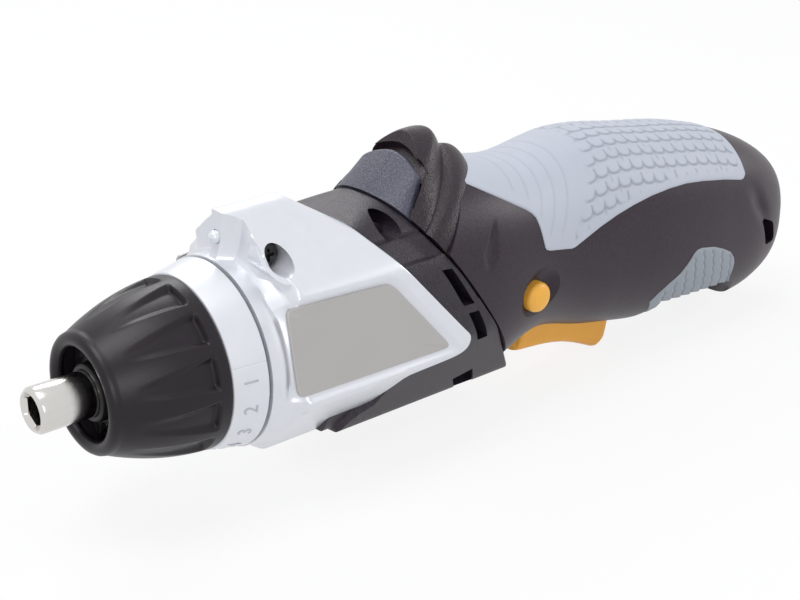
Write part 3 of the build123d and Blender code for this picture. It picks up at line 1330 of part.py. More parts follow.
def cell_straps():
    """Nickel straps that join neighbouring cells at either end."""
    reach = CELL_RADIUS + 0.05
    at = CELL_LENGTH / 2 + CELL_TIP_LENGTH + STRAP_THICKNESS / 2
    straps = []
    for u, end in ((-reach, 1), (reach, 1), (-reach, -1), (reach, -1)):
        straps.append(CELL_PLANE * Pos(u, 0, end * at) * Box(4.0, 2 * reach + 4.0, STRAP_THICKNESS))
    return straps


def charge_board(growth=0.0):
    """Board behind the cells, bored for the socket."""
    size = BOARD_SIZE + 2 * growth
    board = Pos(0, 0, BOARD_THICKNESS / 2) * Box(size, size, BOARD_THICKNESS + 2 * growth)
    return rear_plane() * (board - Cylinder(JACK_RADIUS, 20))


def charge_jack():
    """Round charging socket through the board, open to the rear."""
    body = Cylinder(JACK_RADIUS, JACK_LENGTH) - Pos(0, 0, 1.5) * Cylinder(JACK_BORE, JACK_LENGTH)
    body += Pos(0, 0, -0.5) * Cylinder(JACK_PIN_RADIUS, JACK_LENGTH - 1.0)
    return rear_plane() * Pos(0, 0, JACK_LENGTH / 2 - 2.0) * body


def handle_leads():
    """Two leads from the pivot to the top of the switch."""
    front = (SEAM * Pos(0, 0, pivot_end() + SLIDING_FIT)).position
    along = TRIGGER_LENGTH / 2 - SWITCH_LENGTH / 4
    end = (UNDERSIDE * Pos(along, SWITCH_RISE + SWITCH_HEIGHT, 0)).position
    above = (UNDERSIDE * Pos(along, SWITCH_RISE + SWITCH_HEIGHT + 2 * LEAD_BEND, 0)).position
    return lead_pair((front, front + Vector(*SEAM_NORMAL) * 2 * LEAD_BEND, above, end))


def pivot_end():
    return SEAM_GAP / 2 + FRONT_WALL + SLIDING_FIT + PIVOT_FLANGE_THICKNESS


def motor_leads():
    """Two leads from the motor's end cap to the pivot, along whose axis they leave the head."""
    end = (SEAM * Pos(0, 0, pivot_end())).position
    tilt = math.tan(math.radians(SEAM_TILT))
    corner = (SEAM_X - PIVOT_HEIGHT * (tilt + 1 / tilt), 0, 0)
    return lead_pair(((MOTOR_REAR, 0, 0), corner, end))


def lead_pair(points):
    """Two wires side by side along one bent line."""
    leads = []
    for side in (-1, 1):
        path = Pos(0, side * LEAD_SPACING / 2, 0) * FilletPolyline(*points, radius=LEAD_BEND)
        leads.append(sweep(Plane(origin=path @ 0, z_dir=path % 0) * Circle(LEAD_RADIUS), path=path))
    return leads


def cell_leads():
    """Two straight leads from the rear of the switch to the front straps of the cells."""
    start = UNDERSIDE * Pos(TRIGGER_LENGTH / 2 + SWITCH_LENGTH / 2, SWITCH_RISE + SWITCH_HEIGHT - 1.5, 0)
    strap = CELL_PLANE * Pos(0, 0, -CELL_LENGTH / 2 - CELL_TIP_LENGTH - STRAP_THICKNESS)
    length = (strap.position - start.position).dot(Vector(*DROOP_AXIS))
    leads = []
    for side in (-1, 1):
        place = Plane(origin=start.position + Vector(0, side * SWITCH_WIDTH * 0.45, 0), z_dir=DROOP_AXIS)
        leads.append(extrude(place * Circle(LEAD_RADIUS), amount=length))
    return leads


def handle_screws():
    return [screw(x, z, HANDLE_SCREW_SEAT, 1) for x, z in HANDLE_SCREWS]


def case_screws():
    places = ((CASE_SCREW_X, CASE_SCREW_Z), (MOTOR_SCREW_X, MOTOR_SCREW_Z))
    return [screw(x, z, CASE_SCREW_SEAT, -1) for x, z in places]


# Writing one file for each piece

def write(name, piece):
    """Writes a piece, or a group of like pieces, under its node's name."""
    solids = piece if isinstance(piece, list) else [piece]
    loose = [solid for item in solids for solid in item.solids()]
    export_step(loose[0] if len(loose) == 1 else Compound(loose), os.path.join("parts", name + ".step"))


os.makedirs("parts", exist_ok=True)

for name, whole in (
    ("front_case", front_case()),
    ("motor_case", motor_case()),
    ("soft_grip", soft_grip()),
    ("finger_pad", finger_pad()),
):
    write(name + "_left", whole & half(-1))
    write(name + "_right", whole & half(1))

write("handle_shell_left", handle_shell(-1))
write("handle_shell_right", handle_shell(1))
write("side_plate_left", label_plate(-1))
write("side_plate_right", label_plate(1))
write("lamp", lamp())
write("bit_holder", bit_holder())
write("bit_magnet", rod(HEX_DEPTH, HEX_DEPTH + MAGNET_LENGTH, MAGNET_RADIUS))
write("spindle", spindle())
write("dust_cap", dust_cap())
write("nose_washer", nose_washer())
write("nose_plate", nose_plate())
write("nose_screws", nose_screws())
write("gearbox_housing", gearbox_housing())
write("spindle_bush", spindle_bush())
write("gearbox_plate", gearbox_plate())
write("ring_gear", ring_gear())
write("first_carrier", first_carrier())
for number, place in enumerate(planet_angles(), start=1):
    write(f"first_planet_{number}", planet_gear(FIRST_GEARS, place))
    write(f"second_planet_{number}", planet_gear(SECOND_GEARS, place))
write("clutch_balls", clutch_balls())
write("thrust_washer", thrust_washer())
write("clutch_spring", clutch_spring())
write("adjusting_nut", adjusting_nut())
write("collar_grip", collar_grip())
write("number_ring", number_ring())
write("motor_can", motor_can())
write("motor_magnets", motor_magnets())
write("motor_end_cap", motor_end_cap())
write("motor_brushes", motor_brushes())
write("rotor_shaft", rotor_shaft())
write("armature", armature())
write("commutator", commutator())
write("motor_leads", motor_leads())
write("case_screws", case_screws())
write("pivot_cap", pivot_cap())
write("lock_button", lock_button())
write("lock_spring", lock_spring())
write("trigger", trigger())
write("trigger_spring", trigger_spring())
write("direction_button", direction_button())
write("switch_body", switch_body())
write("cells", cells())
write("cell_straps", cell_straps())
write("cell_leads", cell_leads())
write("handle_leads", handle_leads())
write("charge_board", charge_board())
write("charge_jack", charge_jack())
write("handle_screws", handle_screws())
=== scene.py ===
import bmesh
import bpy
import numpy as np
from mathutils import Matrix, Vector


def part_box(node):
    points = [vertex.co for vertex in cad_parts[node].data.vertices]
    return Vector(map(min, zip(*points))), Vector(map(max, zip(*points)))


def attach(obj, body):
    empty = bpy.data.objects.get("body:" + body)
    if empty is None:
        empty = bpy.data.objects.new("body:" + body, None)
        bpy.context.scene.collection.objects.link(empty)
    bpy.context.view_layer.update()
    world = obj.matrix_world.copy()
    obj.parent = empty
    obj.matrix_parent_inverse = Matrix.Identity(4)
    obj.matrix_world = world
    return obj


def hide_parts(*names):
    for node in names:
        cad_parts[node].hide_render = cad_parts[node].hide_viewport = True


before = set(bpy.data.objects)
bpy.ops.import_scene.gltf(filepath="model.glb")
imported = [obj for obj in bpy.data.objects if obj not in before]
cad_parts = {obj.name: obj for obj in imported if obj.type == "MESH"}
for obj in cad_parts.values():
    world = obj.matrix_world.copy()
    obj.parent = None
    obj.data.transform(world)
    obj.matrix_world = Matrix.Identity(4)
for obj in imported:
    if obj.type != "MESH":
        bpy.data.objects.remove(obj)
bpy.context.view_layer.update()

# Rotor, gears and shafts of the drive train.
# Turned and sintered steel, oiled and dull, with faint tool marks; they sit inside the gearbox and the motor can.

def grained(name, colour, second, rough, grain, depth, metallic=0.0, coat=0.0, stretch=(1, 1, 1), patch=9.0,
            shine=0.5):
    """Finish whose colour drifts between two tones in soft patches, with fine grain in its bump and its roughness.
    grain and patch are the sizes of the two noises in millimetres, stretch draws the grain out along an axis,
    and shine is how much light the surface mirrors."""
    finish = bpy.data.materials.new(name)
    finish.use_nodes = True
    nodes, links = finish.node_tree.nodes, finish.node_tree.links
    shader = nodes["Principled BSDF"]
    shader.inputs["Metallic"].default_value = metallic
    shader.inputs["Coat Weight"].default_value = coat
    shader.inputs["Specular IOR Level"].default_value = shine
    place = nodes.new("ShaderNodeTexCoord")
    turn = nodes.new("ShaderNodeMapping")
    turn.inputs["Scale"].default_value = stretch
    links.new(place.outputs["Object"], turn.inputs["Vector"])
    broad = nodes.new("ShaderNodeTexNoise")
    broad.inputs["Scale"].default_value = 1000 / patch
    broad.inputs["Detail"].default_value = 3.0
    links.new(place.outputs["Object"], broad.inputs["Vector"])
    tones = nodes.new("ShaderNodeMix")
    tones.data_type = "RGBA"
    tones.inputs["A"].default_value = (*colour, 1)
    tones.inputs["B"].default_value = (*second, 1)
    links.new(broad.outputs["Fac"], tones.inputs["Factor"])
    links.new(tones.outputs["Result"], shader.inputs["Base Color"])
    fine = nodes.new("ShaderNodeTexNoise")
    fine.inputs["Scale"].default_value = 1000 / grain
    fine.inputs["Detail"].default_value = 2.0
    links.new(turn.outputs["Vector"], fine.inputs["Vector"])
    spread = nodes.new("ShaderNodeMapRange")
    spread.inputs["To Min"].default_value = rough - 0.07
    spread.inputs["To Max"].default_value = rough + 0.07
    links.new(fine.outputs["Fac"], spread.inputs["Value"])
    links.new(spread.outputs["Result"], shader.inputs["Roughness"])
    relief = nodes.new("ShaderNodeBump")
    relief.inputs["Strength"].default_value = depth
    relief.inputs["Distance"].default_value = 0.00015
    links.new(fine.outputs["Fac"], relief.inputs["Height"])
    links.new(relief.outputs["Normal"], shader.inputs["Normal"])
    return finish


def coat_node(finish, *nodes):
    """Gives solids of the frame a finish in place of their own, with their triangles welded and shaded as
    curved faces."""
    for node in nodes:
        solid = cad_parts[node]
        solid.data.materials.clear()
        solid.data.materials.append(finish)
        weld = solid.modifiers.new("weld", "WELD")
        weld.merge_threshold = 1e-6
        solid.modifiers.new("creases", "EDGE_SPLIT").split_angle = np.radians(28)
        solid.data.polygons.foreach_set("use_smooth", np.ones(len(solid.data.polygons), bool))


oiled_steel = grained("oiled_steel", (0.36, 0.35, 0.34), (0.26, 0.255, 0.25), 0.34, 0.4, 0.12, 1.0,
                      stretch=(0.3, 1, 1))
planets = [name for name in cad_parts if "_planet_" in name]
coat_node(oiled_steel, "rotor_shaft", "first_carrier", "spindle", "ring_gear", "clutch_balls", *planets)
coat_node(grained("core_laminate", (0.30, 0.29, 0.28), (0.20, 0.19, 0.18), 0.5, 0.3, 0.3, 0.9,
                  stretch=(6, 0.2, 0.2)), "armature")
coat_node(grained("commutator_copper", (0.62, 0.30, 0.16), (0.50, 0.22, 0.11), 0.35, 0.3, 0.15, 1.0), "commutator")

# Motor can, magnets, brushes and the gearbox that is bolted to it.
# The can is drawn steel, the housing and its plate are zinc castings, the bush is bronze and the brushes carbon.

coat_node(grained("drawn_can", (0.55, 0.55, 0.56), (0.44, 0.44, 0.45), 0.28, 0.5, 0.08, 1.0, stretch=(0.2, 1, 1)),
          "motor_can", "thrust_washer", "clutch_spring", "trigger_spring", "lock_spring")
coat_node(grained("zinc_casting", (0.42, 0.43, 0.45), (0.34, 0.35, 0.37), 0.45, 0.6, 0.35, 0.9),
          "gearbox_housing", "gearbox_plate", "adjusting_nut")
coat_node(grained("sintered_bronze", (0.50, 0.32, 0.15), (0.40, 0.25, 0.11), 0.42, 0.25, 0.4, 1.0), "spindle_bush")
coat_node(grained("ferrite", (0.055, 0.055, 0.06), (0.035, 0.035, 0.04), 0.6, 0.3, 0.5), "motor_magnets",
          "motor_brushes", "bit_magnet")
coat_node(grained("dark_nylon", (0.03, 0.03, 0.033), (0.022, 0.022, 0.025), 0.48, 0.3, 0.3), "motor_end_cap",
          "switch_body", "charge_jack")
coat_node(grained("motor_lead_sheath", (0.42, 0.03, 0.025), (0.34, 0.022, 0.02), 0.45, 0.8, 0.1), "motor_leads",
          "handle_leads", "cell_leads")

# Nose of the gearbox in the collar's mouth: plate, three screws, pale washer and the black dust cap on the
# bit holder. The plate and screws are blackened steel, the washer is bright, and the cap is moulded and has
# two rings on its face.

def skin(name, grid, loop=False, sharp=32):
    """Closed mesh over a grid of rings, in millimetres: four-cornered faces between neighbouring rings.
    loop joins the last ring to the first; otherwise rings that shrink to a point close the two ends."""
    rows, columns = grid.shape[:2]
    index = np.arange(rows * columns).reshape(rows, columns)
    index = np.hstack([index, index[:, :1]])
    if loop:
        index = np.vstack([index, index[:1]])
    faces = np.stack([index[:-1, :-1], index[:-1, 1:], index[1:, 1:], index[1:, :-1]], -1).reshape(-1, 4)
    return closed(name, grid.reshape(-1, 3), faces, sharp)


def placed(name, data):
    """New object in the scene for a mesh, a text, a lamp or a camera."""
    item = bpy.data.objects.new(name, data)
    bpy.context.collection.objects.link(item)
    return item


def closed(name, points, faces, sharp=32):
    """Object from points in millimetres and faces: doubles merged, faces turned outwards, smooth up to the
    sharp angle."""
    mesh = bpy.data.meshes.new(name)
    mesh.from_pydata((points * 0.001).tolist(), [], faces.tolist())
    shape = bmesh.new()
    shape.from_mesh(mesh)
    bmesh.ops.remove_doubles(shape, verts=shape.verts, dist=1e-6)
    if shape.calc_volume(signed=True) < 0:
        bmesh.ops.reverse_faces(shape, faces=shape.faces)
    shape.to_mesh(mesh)
    shape.free()
    mesh.shade_smooth()
    mesh.set_sharp_from_angle(angle=np.radians(sharp))
    return placed(name, mesh)


def circle(count):
    """Angles evenly spaced round a full turn."""
    return np.linspace(0, 2 * np.pi, count, endpoint=False)


def about_axis(x, r, turn):
    """Points at a place along the spindle's axis, a distance from it and an angle from its top."""
    return np.stack(np.broadcast_arrays(x, r * np.sin(turn), r * np.cos(turn)), -1)


def lathe(profile, columns=160):
    """Rings of a profile of (x, radius) pairs turned about the spindle's axis."""
    x, r = np.asarray(profile, float).T[..., None]
    return about_axis(x, r, circle(columns))


def fit(piece, finish, body, slot, *nodes):
    """Gives a piece its finish and the body it rides on, and hides the solids it stands for; the slot is not used.
    """
    piece.data.materials.append(finish)
    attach(piece, body)
    if nodes:
        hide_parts(*nodes)
    return piece


coat_node(grained("blackened_steel", (0.035, 0.034, 0.036), (0.022, 0.022, 0.024), 0.4, 0.4, 0.2, 0.6),
          "nose_plate", "nose_screws", "case_screws", "handle_screws")
cap_profile = [(13.35, 5.32), (13.2, 5.6), (13.2, 6.1), (13.5, 6.45), (14.0, 6.6), (15.3, 6.6), (15.5, 6.75),
               (15.55, 7.2), (15.7, 7.4), (16.4, 7.4), (16.6, 7.2), (16.6, 5.32)]
cap_rubber = grained("cap_rubber", (0.012, 0.0112, 0.0125), (0.008, 0.008, 0.009), 0.42, 0.3, 0.25, shine=0.3)
fit(skin("dust_cap_ring", lathe(cap_profile), True), cap_rubber, "head", "dark_plastic", "dust_cap")
washer_low, washer_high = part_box("nose_washer")
washer_front, washer_rear = washer_low[0] * 1000, washer_high[0] * 1000
washer_profile = [(washer_front, 5.4), (washer_front, 8.1), (washer_front + 0.15, 8.3), (washer_rear, 8.3),
                  (washer_rear, 5.4)]
bright_washer = grained("bright_washer", (0.86, 0.86, 0.87), (0.80, 0.80, 0.81), 0.22, 0.4, 0.1, 1.0)
fit(skin("nose_washer_ring", lathe(washer_profile), True), bright_washer, "head", "bright_steel", "nose_washer")

# Bit holder: a chromed steel sleeve with a quarter-inch hexagon socket.
# Its mouth is chamfered inside and out, and its outside is polished with fine turning lines.

holder_turn = circle(180)
HEX_FLATS = 6.35
hexagon = HEX_FLATS / 2 / np.cos((holder_turn % (np.pi / 3)) - np.pi / 6)
round_rows = [(12.6, 0.0), (12.6, 2.6), (12.05, 2.6)]
hex_rows = [(12.0, 0.0), (7.0, 0.0), (2.0, 0.0), (1.1, 0.0)]
mouth_rows = [(0.35, 3.95), (0.12, 4.1), (0.0, 4.22), (0.0, 4.45), (0.12, 4.6), (0.7, 5.08), (0.95, 5.2),
              (5.0, 5.2), (12.0, 5.2),
              (23.9, 5.2), (24.0, 5.1), (24.0, 0.0)]
holder_x = np.array([row[0] for row in round_rows + hex_rows + mouth_rows])
holder_r = np.vstack([
    *[np.full_like(hexagon, r) for _, r in round_rows],
    *[hexagon for _ in hex_rows],
    *[np.full_like(hexagon, r) for _, r in mouth_rows],
])
holder_grid = about_axis(holder_x[:, None], holder_r, holder_turn)
bit_chrome = grained("bit_chrome", (0.68, 0.665, 0.645), (0.60, 0.585, 0.565), 0.16, 0.25, 0.06, 1.0,
                     stretch=(4, 0.15, 0.15))
fit(skin("bit_holder_sleeve", holder_grid), bit_chrome, "spindle", "chrome", "bit_holder")

# Torque collar: a moulded grip of dark satin plastic that is turned by hand.
# It has a fat rounded lip and a swelling cone, with twelve flutes that widen and deepen towards the rear.

COLLAR_COLUMNS = 432
COLLAR_CONE_FRONT, COLLAR_REAR = 13.9, 37.0
CONE_START, CONE_RISE, CONE_BULGE = 14.0, 6.1, 5.2
FLUTES = 12
FLUTE_FRONT, FLUTE_LENGTH, FLUTE_REAR, FLUTE_DEEPEST = 16.5, 17.0, 34.4, 1.4


def collar_cone(x):
    """Straight line from lip to rear edge plus a shallow bulge."""
    t = (x - COLLAR_CONE_FRONT) / (COLLAR_REAR - COLLAR_CONE_FRONT)
    return CONE_START + CONE_RISE * t + CONE_BULGE * t * (1 - t)


def step(value, start, end):
    """Smooth step from 0 at start to 1 at end."""
    t = np.clip((value - start) / (end - start), 0, 1)
    return t * t * (3 - 2 * t)


lip = [(13.2, 10.55), (12.5, 10.62), (11.95, 10.95), (11.6, 11.5), (11.5, 12.1), (11.6, 12.75), (11.95, 13.3),
       (12.5, 13.7), (13.2, 13.88)]
cone_x = np.linspace(COLLAR_CONE_FRONT, COLLAR_REAR - 0.35, 110)
collar_bore = [(36.9, 20.0), (37.0, 19.75), (37.0, 17.4), (33.5, 17.4), (33.5, 16.0), (21.5, 16.0), (21.5, 9.08),
               (19.1, 9.08),
               (19.1, 12.1), (14.5, 12.1), (14.4, 11.6)]
collar_profile = np.vstack([lip, np.stack([cone_x, collar_cone(cone_x)], -1), collar_bore])
collar_grid = lathe(collar_profile, COLLAR_COLUMNS)
outside = slice(len(lip), len(lip) + len(cone_x))
collar_turn = circle(COLLAR_COLUMNS)
flute_middle = (collar_turn % (2 * np.pi / FLUTES)) - np.pi / FLUTES
along = cone_x[:, None]
run = np.clip((along - FLUTE_FRONT) / FLUTE_LENGTH, 0, 1)
flute_half = 1.0 + 2.4 * run
flute_side = step(flute_half - np.abs(flute_middle) * collar_cone(along), -0.8, 0.9)
flute_depth = FLUTE_DEEPEST * run ** 1.1 * step(FLUTE_REAR - along, 0.0, 0.8) * flute_side
radius = collar_cone(along) - flute_depth
collar_grid[outside, :, 1] = radius * np.sin(collar_turn)
collar_grid[outside, :, 2] = radius * np.cos(collar_turn)
collar_plastic = grained("collar_plastic", (0.013, 0.009, 0.0138), (0.009, 0.006, 0.0095), 0.36, 0.22, 0.16,
                         shine=0.3)
fit(skin("torque_collar", collar_grid, True, 40), collar_plastic, "collar", "dark_plastic", "collar_grip")

# Number ring: a silver painted ring behind the grip, with the torque numbers moulded on it. The numbers stand
# a little proud, their tops towards the nose, and a fine moulding line crosses the ring above the one.

ring_profile = [(37.05, 20.1), (37.2, 20.33), (38.0, 20.5), (41.0, 21.15), (44.6, 21.9), (45.0, 21.97),
                (45.2, 21.75), (45.2, 17.5),
                (40.7, 17.5), (40.7, 16.0), (33.62, 16.0), (33.62, 17.28), (37.05, 17.28)]
RING_COLUMNS = 720
RING_FRONT, RING_RADIUS, RING_SLOPE = 37.2, 20.33, 0.212
LINE_ANGLE, LINE_WIDTH = 284.5, 0.35
ring_grid = lathe(ring_profile, RING_COLUMNS)
ring_turn = circle(RING_COLUMNS)
moulding_line = np.exp(-((ring_turn - np.radians(LINE_ANGLE)) / np.radians(LINE_WIDTH)) ** 2)
shrink = 1 - 0.006 * moulding_line[None, :] * (np.arange(len(ring_profile)) < 7)[:, None]
ring_grid[..., 1:] *= shrink[..., None]
silver_paint = grained("silver_paint", (0.74, 0.76, 0.80), (0.68, 0.70, 0.745), 0.33, 0.12, 0.08, 0.45, patch=4.0)
fit(skin("number_ring_band", ring_grid, True, 40), silver_paint, "collar", "silver_paint", "number_ring")
NUMBERS, FIRST_NUMBER, NUMBER_PITCH = 12, 274.5, 18.75
NUMBER_SIZE, NUMBER_RELIEF, NUMBER_MIDDLE, NUMBER_RADIUS = 4.6, 0.16, 41.2, 21.2


def ring_number(value, angle):
    """Raised number on the ring: flat letters are laid with their height along the axis and their width round
    the ring, so a letter point (u, v, w) goes to x = middle - v, radius = ring + w and angle = place + u /
    radius."""
    words = bpy.data.curves.new("number", "FONT")
    words.body = str(value)
    words.size = NUMBER_SIZE
    words.extrude = NUMBER_RELIEF
    words.align_x, words.align_y = "CENTER", "CENTER"
    words.resolution_u = 3
    flat = placed("number", words)
    mesh = bpy.data.meshes.new_from_object(flat.evaluated_get(bpy.context.evaluated_depsgraph_get()))
    bpy.data.objects.remove(flat)
    points = np.empty(len(mesh.vertices) * 3)
    mesh.vertices.foreach_get("co", points)
    u, v, w = points.reshape(-1, 3).T
    x = NUMBER_MIDDLE - v
    r = RING_RADIUS + (x - RING_FRONT) * RING_SLOPE + w
    place = np.radians(angle) + u / NUMBER_RADIUS
    bent = about_axis(x, r, place)
    mesh.vertices.foreach_set("co", (bent * 0.001).ravel())
    mesh.name = f"ring_number_{value}"
    return placed(mesh.name, mesh)


# Painted shade: the numbers are moulded in the ring's silver and painted darker, as the shade at the edges of
# their relief.
numbers_painted_shade = grained("numbers_painted_shade", (0.50, 0.52, 0.56), (0.46, 0.48, 0.52), 0.36, 0.12, 0.08, 0.4, patch=4.0)
for value in range(1, NUMBERS + 1):
    fit(ring_number(value, FIRST_NUMBER - NUMBER_PITCH * (value - 1)), numbers_painted_shade, "collar", "silver_paint")

# Silver front case: two painted clamshell halves that hold the gearbox and the lamp, split down the middle.
# Roofed section over leaning sides, flared out behind the number ring, with a slanted rear edge and a sunk
# place for each side plate.

def facets(turn, planes, power):
    """Radius of a rounded polygon round the axis: the smooth smallest of the distances to its sides. Each
    plane is the angle of its normal from the top in degrees and its distance; 1 / r is the power mean of cos
    / distance."""
    total = sum(np.maximum(np.cos(turn - np.radians(angle)), 0) ** power / distance ** power
                for angle, distance in planes)
    return total ** (-1.0 / power)


RIDGE_HEIGHT, RIDGE_DROP, RIDGE_REAR = 33.0, 0.636, 65.0
SIDE_LEAN, SIDE_DISTANCE = 79.2, 24.5


def silver_section(turn, x):
    """Section of the silver case at x; its ridge drops behind the roof."""
    ridge = RIDGE_HEIGHT - RIDGE_DROP * np.maximum(x - RIDGE_REAR, 0)
    sides = ((40, 27.1), (SIDE_LEAN, SIDE_DISTANCE), (135.5, 23.0))
    planes = [(0, ridge)] + [(s * a, d) for s in (-1, 1) for a, d in sides] + [(180, 24.4)]
    return facets(turn, planes, 42.0)


def silver_rear(z):
    """Where the rear edge is at a height: slanted above, then the pad's corner, then the skirt's sweep down
    to the belly."""
    heights = [-25.2, -24.2, -22.2, -19.8, -18.1, -13.3, -10.0, -9.0, -8.5, -8.2, -7.4, -6.0, -4.6, -3.4, -2.0,
               26.0, 40.0]
    places = [69.6, 70.2, 71.6, 74.4, 79.0, 81.8, 83.0, 84.2, 90.0, 95.5, 98.2, 99.9, 100.8, 100.9, 99.66, 76.42,
              64.8]
    return np.interp(z, heights, places)


def rolled(distance, radius):
    """Quarter-round fall towards an edge: 1 at the edge and 0 at one radius from it."""
    return 1 - np.sqrt(1 - np.clip(1 - distance / radius, 0, 1) ** 2)


top_turn = np.radians(np.linspace(0, 40, 130, endpoint=False))
case_turn = np.concatenate([top_turn, np.radians(np.linspace(40, 320, 261)), 2 * np.pi - top_turn[:0:-1]])
rear_edge = np.full_like(case_turn, 90.0)
for _ in range(40):
    rear_edge = 0.5 * rear_edge + 0.5 * silver_rear(silver_section(case_turn, rear_edge) * np.cos(case_turn))
along = np.concatenate([np.linspace(0, 0.16, 40)[:-1], np.linspace(0.16, 0.97, 100)[:-1],
                        np.linspace(0.97, 1.0, 10)])[:, None]
CASE_FRONT = 45.8
case_x = CASE_FRONT + along * (rear_edge[None, :] - CASE_FRONT)
case_r = silver_section(case_turn[None, :], case_x)
from_top = np.degrees(np.abs((case_turn + np.pi) % (2 * np.pi) - np.pi))[None, :]
flare_length = 1.3 + 4.9 * step(from_top, 28, 50)
prow = 1.35 * np.clip(27 * np.abs(np.sin(case_turn)) - 1.6, 0, 2.6)[None, :] * (1 - step(from_top, 34, 56))
flare = 22.3 + 13.0 * (1 - np.sqrt(1 - np.clip((case_x - 46.2 - prow) / (1.55 * flare_length), 0, 1) ** 2))
case_r = -np.logaddexp(-case_r * 3.0, -flare * 3.0) / 3.0
case_r -= 0.7 * rolled(rear_edge[None, :] - case_x, 0.9)
case_y, case_z = case_r * np.sin(case_turn), case_r * np.cos(case_turn)
plate_corners = np.array([(50.6, 15.6), (79.6, 14.2), (95.0, -4.8), (50.6, -4.0)])
PLATE_ROUNDING = 1.6


def outside_plate(x, z):
    """Signed distance from the side plate's four-sided outline, positive outside it."""
    a, b = plate_corners, np.roll(plate_corners, -1, 0)
    normal = np.stack([-(b - a)[:, 1], (b - a)[:, 0]], -1) / np.linalg.norm(b - a, axis=1)[:, None]
    gaps = np.array([(x - p[0]) * n[0] + (z - p[1]) * n[1] for p, n in zip(a, normal)])
    return np.log(np.exp(gaps * PLATE_ROUNDING).sum(0)) / PLATE_ROUNDING


sink = 1.05 * (1 - step(outside_plate(case_x, case_z), 0.1, 2.1)) * (np.abs(case_y) > 15)
case_y -= np.sign(case_y) * sink * 0.98
case_z -= sink * 0.19
outer = np.stack([case_x, case_y, case_z], -1)
inner_along = np.linspace(1.0, 0.0, 14)[:, None]
inner_x = CASE_FRONT + inner_along * (rear_edge[None, :] - CASE_FRONT)
inner_r = np.minimum(silver_section(case_turn[None, :], inner_x) - 2.2, 20.2 + 1.2 * np.maximum(inner_x - 48.0, 0))
inner = about_axis(inner_x, inner_r, case_turn)
silver_case = skin("silver_case", np.concatenate([outer, inner]), True, 38)


def carve(piece, *cutters):
    """Cuts closed shapes out of a piece, one after the other, and removes the cutters."""
    bpy.context.view_layer.objects.active = piece
    for cutter in cutters:
        cut = piece.modifiers.new("cut", "BOOLEAN")
        cut.operation, cut.solver, cut.object = "DIFFERENCE", "EXACT", cutter
        bpy.ops.object.modifier_apply(modifier=cut.name)
        bpy.data.objects.remove(cutter)
    piece.data.set_sharp_from_angle(angle=np.radians(38))
    return piece


def bore(start, end, radii):
    """Round cutter from one point to another, with one radius at each end."""
    start, end = np.array(start, float), np.array(end, float)
    axis = (end - start) / np.linalg.norm(end - start)
    side = np.cross(axis, (0.0, 0.6, 0.8))
    side /= np.linalg.norm(side)
    turn = circle(72)[:, None]
    ring = np.cos(turn) * side + np.sin(turn) * np.cross(axis, side)
    rows = [(start, 0.0), (start, radii[0]), (end, radii[1]), (end, 0.0)]
    return skin("cutter", np.stack([place + r * ring for place, r in rows]))


FRONT_SCREW, REAR_SCREW, SCREW_HEIGHT, SCREW_SEAT, LAMP_HEIGHT = 54.6, 85.3, 23.8, -8.0, 27.0
carve(silver_case,
      bore((FRONT_SCREW, -60, SCREW_HEIGHT), (FRONT_SCREW, SCREW_SEAT, SCREW_HEIGHT), (3.25, 2.95)),
      bore((REAR_SCREW, -60, SCREW_HEIGHT), (REAR_SCREW, -2, SCREW_HEIGHT), (3.0, 3.0)),
      bore((40, 0, LAMP_HEIGHT), (50, 0, LAMP_HEIGHT), (1.62, 1.62)))
fit(silver_case, silver_paint, "head", "silver_paint", "front_case_left", "front_case_right")


def screw_well():
    """Tube round the front screw, from its seat to the leaning roof: rings of two radii, cut off along the
    roof's plane."""
    turn = circle(96)
    rings = []
    for r, at_roof in ((3.05, False), (3.12, True), (4.2, True), (4.2, False)):
        z = SCREW_HEIGHT + r * np.sin(turn)
        roof = -(26.75 - 0.766 * z) / 0.6428
        y = roof if at_roof else np.full_like(z, SCREW_SEAT)
        rings.append(np.stack([FRONT_SCREW + r * np.cos(turn), y, z], -1))
    return skin("screw_well_tube", np.stack(rings), True)


fit(screw_well(), silver_paint, "head", "silver_paint")

# Side plates: thin four-sided plates pressed into the sunk places on either side of the case.
# Warm grey brushed metal, left bare, with rounded corners and a fine bright edge.

def side_plate(side):
    """Rounded four-sided plate on the leaning side: rings of its outline drawn towards the middle, at two
    depths."""
    middle = plate_corners.mean(0)
    turn = circle(400)
    reach = np.linspace(0, 40, 4001)
    ray_x = middle[0] + reach[:, None] * np.cos(turn)
    ray_z = middle[1] + reach[:, None] * np.sin(turn)
    edge = reach[(outside_plate(ray_x, ray_z) < 0.0).argmin(0)]
    rows = [(0.0, 0.55), (0.5, 0.55), (0.985, 0.55), (1.0, 0.75), (1.0, 1.4), (0.0, 1.4)]
    grid = []
    for share, depth in rows:
        x = middle[0] + share * edge * np.cos(turn)
        z = middle[1] + share * edge * np.sin(turn)
        y = SIDE_DISTANCE / 0.9825 - 0.1901 * z - depth
        grid.append(np.stack([x, side * y, z], -1))
    return np.stack(grid)


plate_metal = grained("plate_metal", (0.46, 0.445, 0.435), (0.43, 0.415, 0.405), 0.38, 0.35, 0.08, 0.25,
                      stretch=(0.08, 1, 1))
for name, side in (("left", -1), ("right", 1)):
    sheet = skin(f"side_plate_sheet_{name}", side_plate(side))
    fit(sheet, plate_metal, "head", "label_plate", f"side_plate_{name}")

# Work lamp: a small clear diode set in the front of the ridge, shining on the bit.
# Cast epoxy, polished by its mould and pushed into a bore between the two halves.

coat_node(grained("lamp_glass", (0.80, 0.84, 0.88), (0.70, 0.75, 0.80), 0.12, 0.8, 0.05, 0.1, coat=0.6), "lamp")

# Black motor case: two moulded halves behind the silver ones, spark-eroded finish, with the twist joint's
# flat at the rear. Arched top with a deep screw hole, a hollowed band under it, and slots that let the
# motor's air out.

MOTOR_HALF_WIDTH, SLOT_DEPTH, SLOT_OUTSIDE = 22.8, 8.5, 30.0


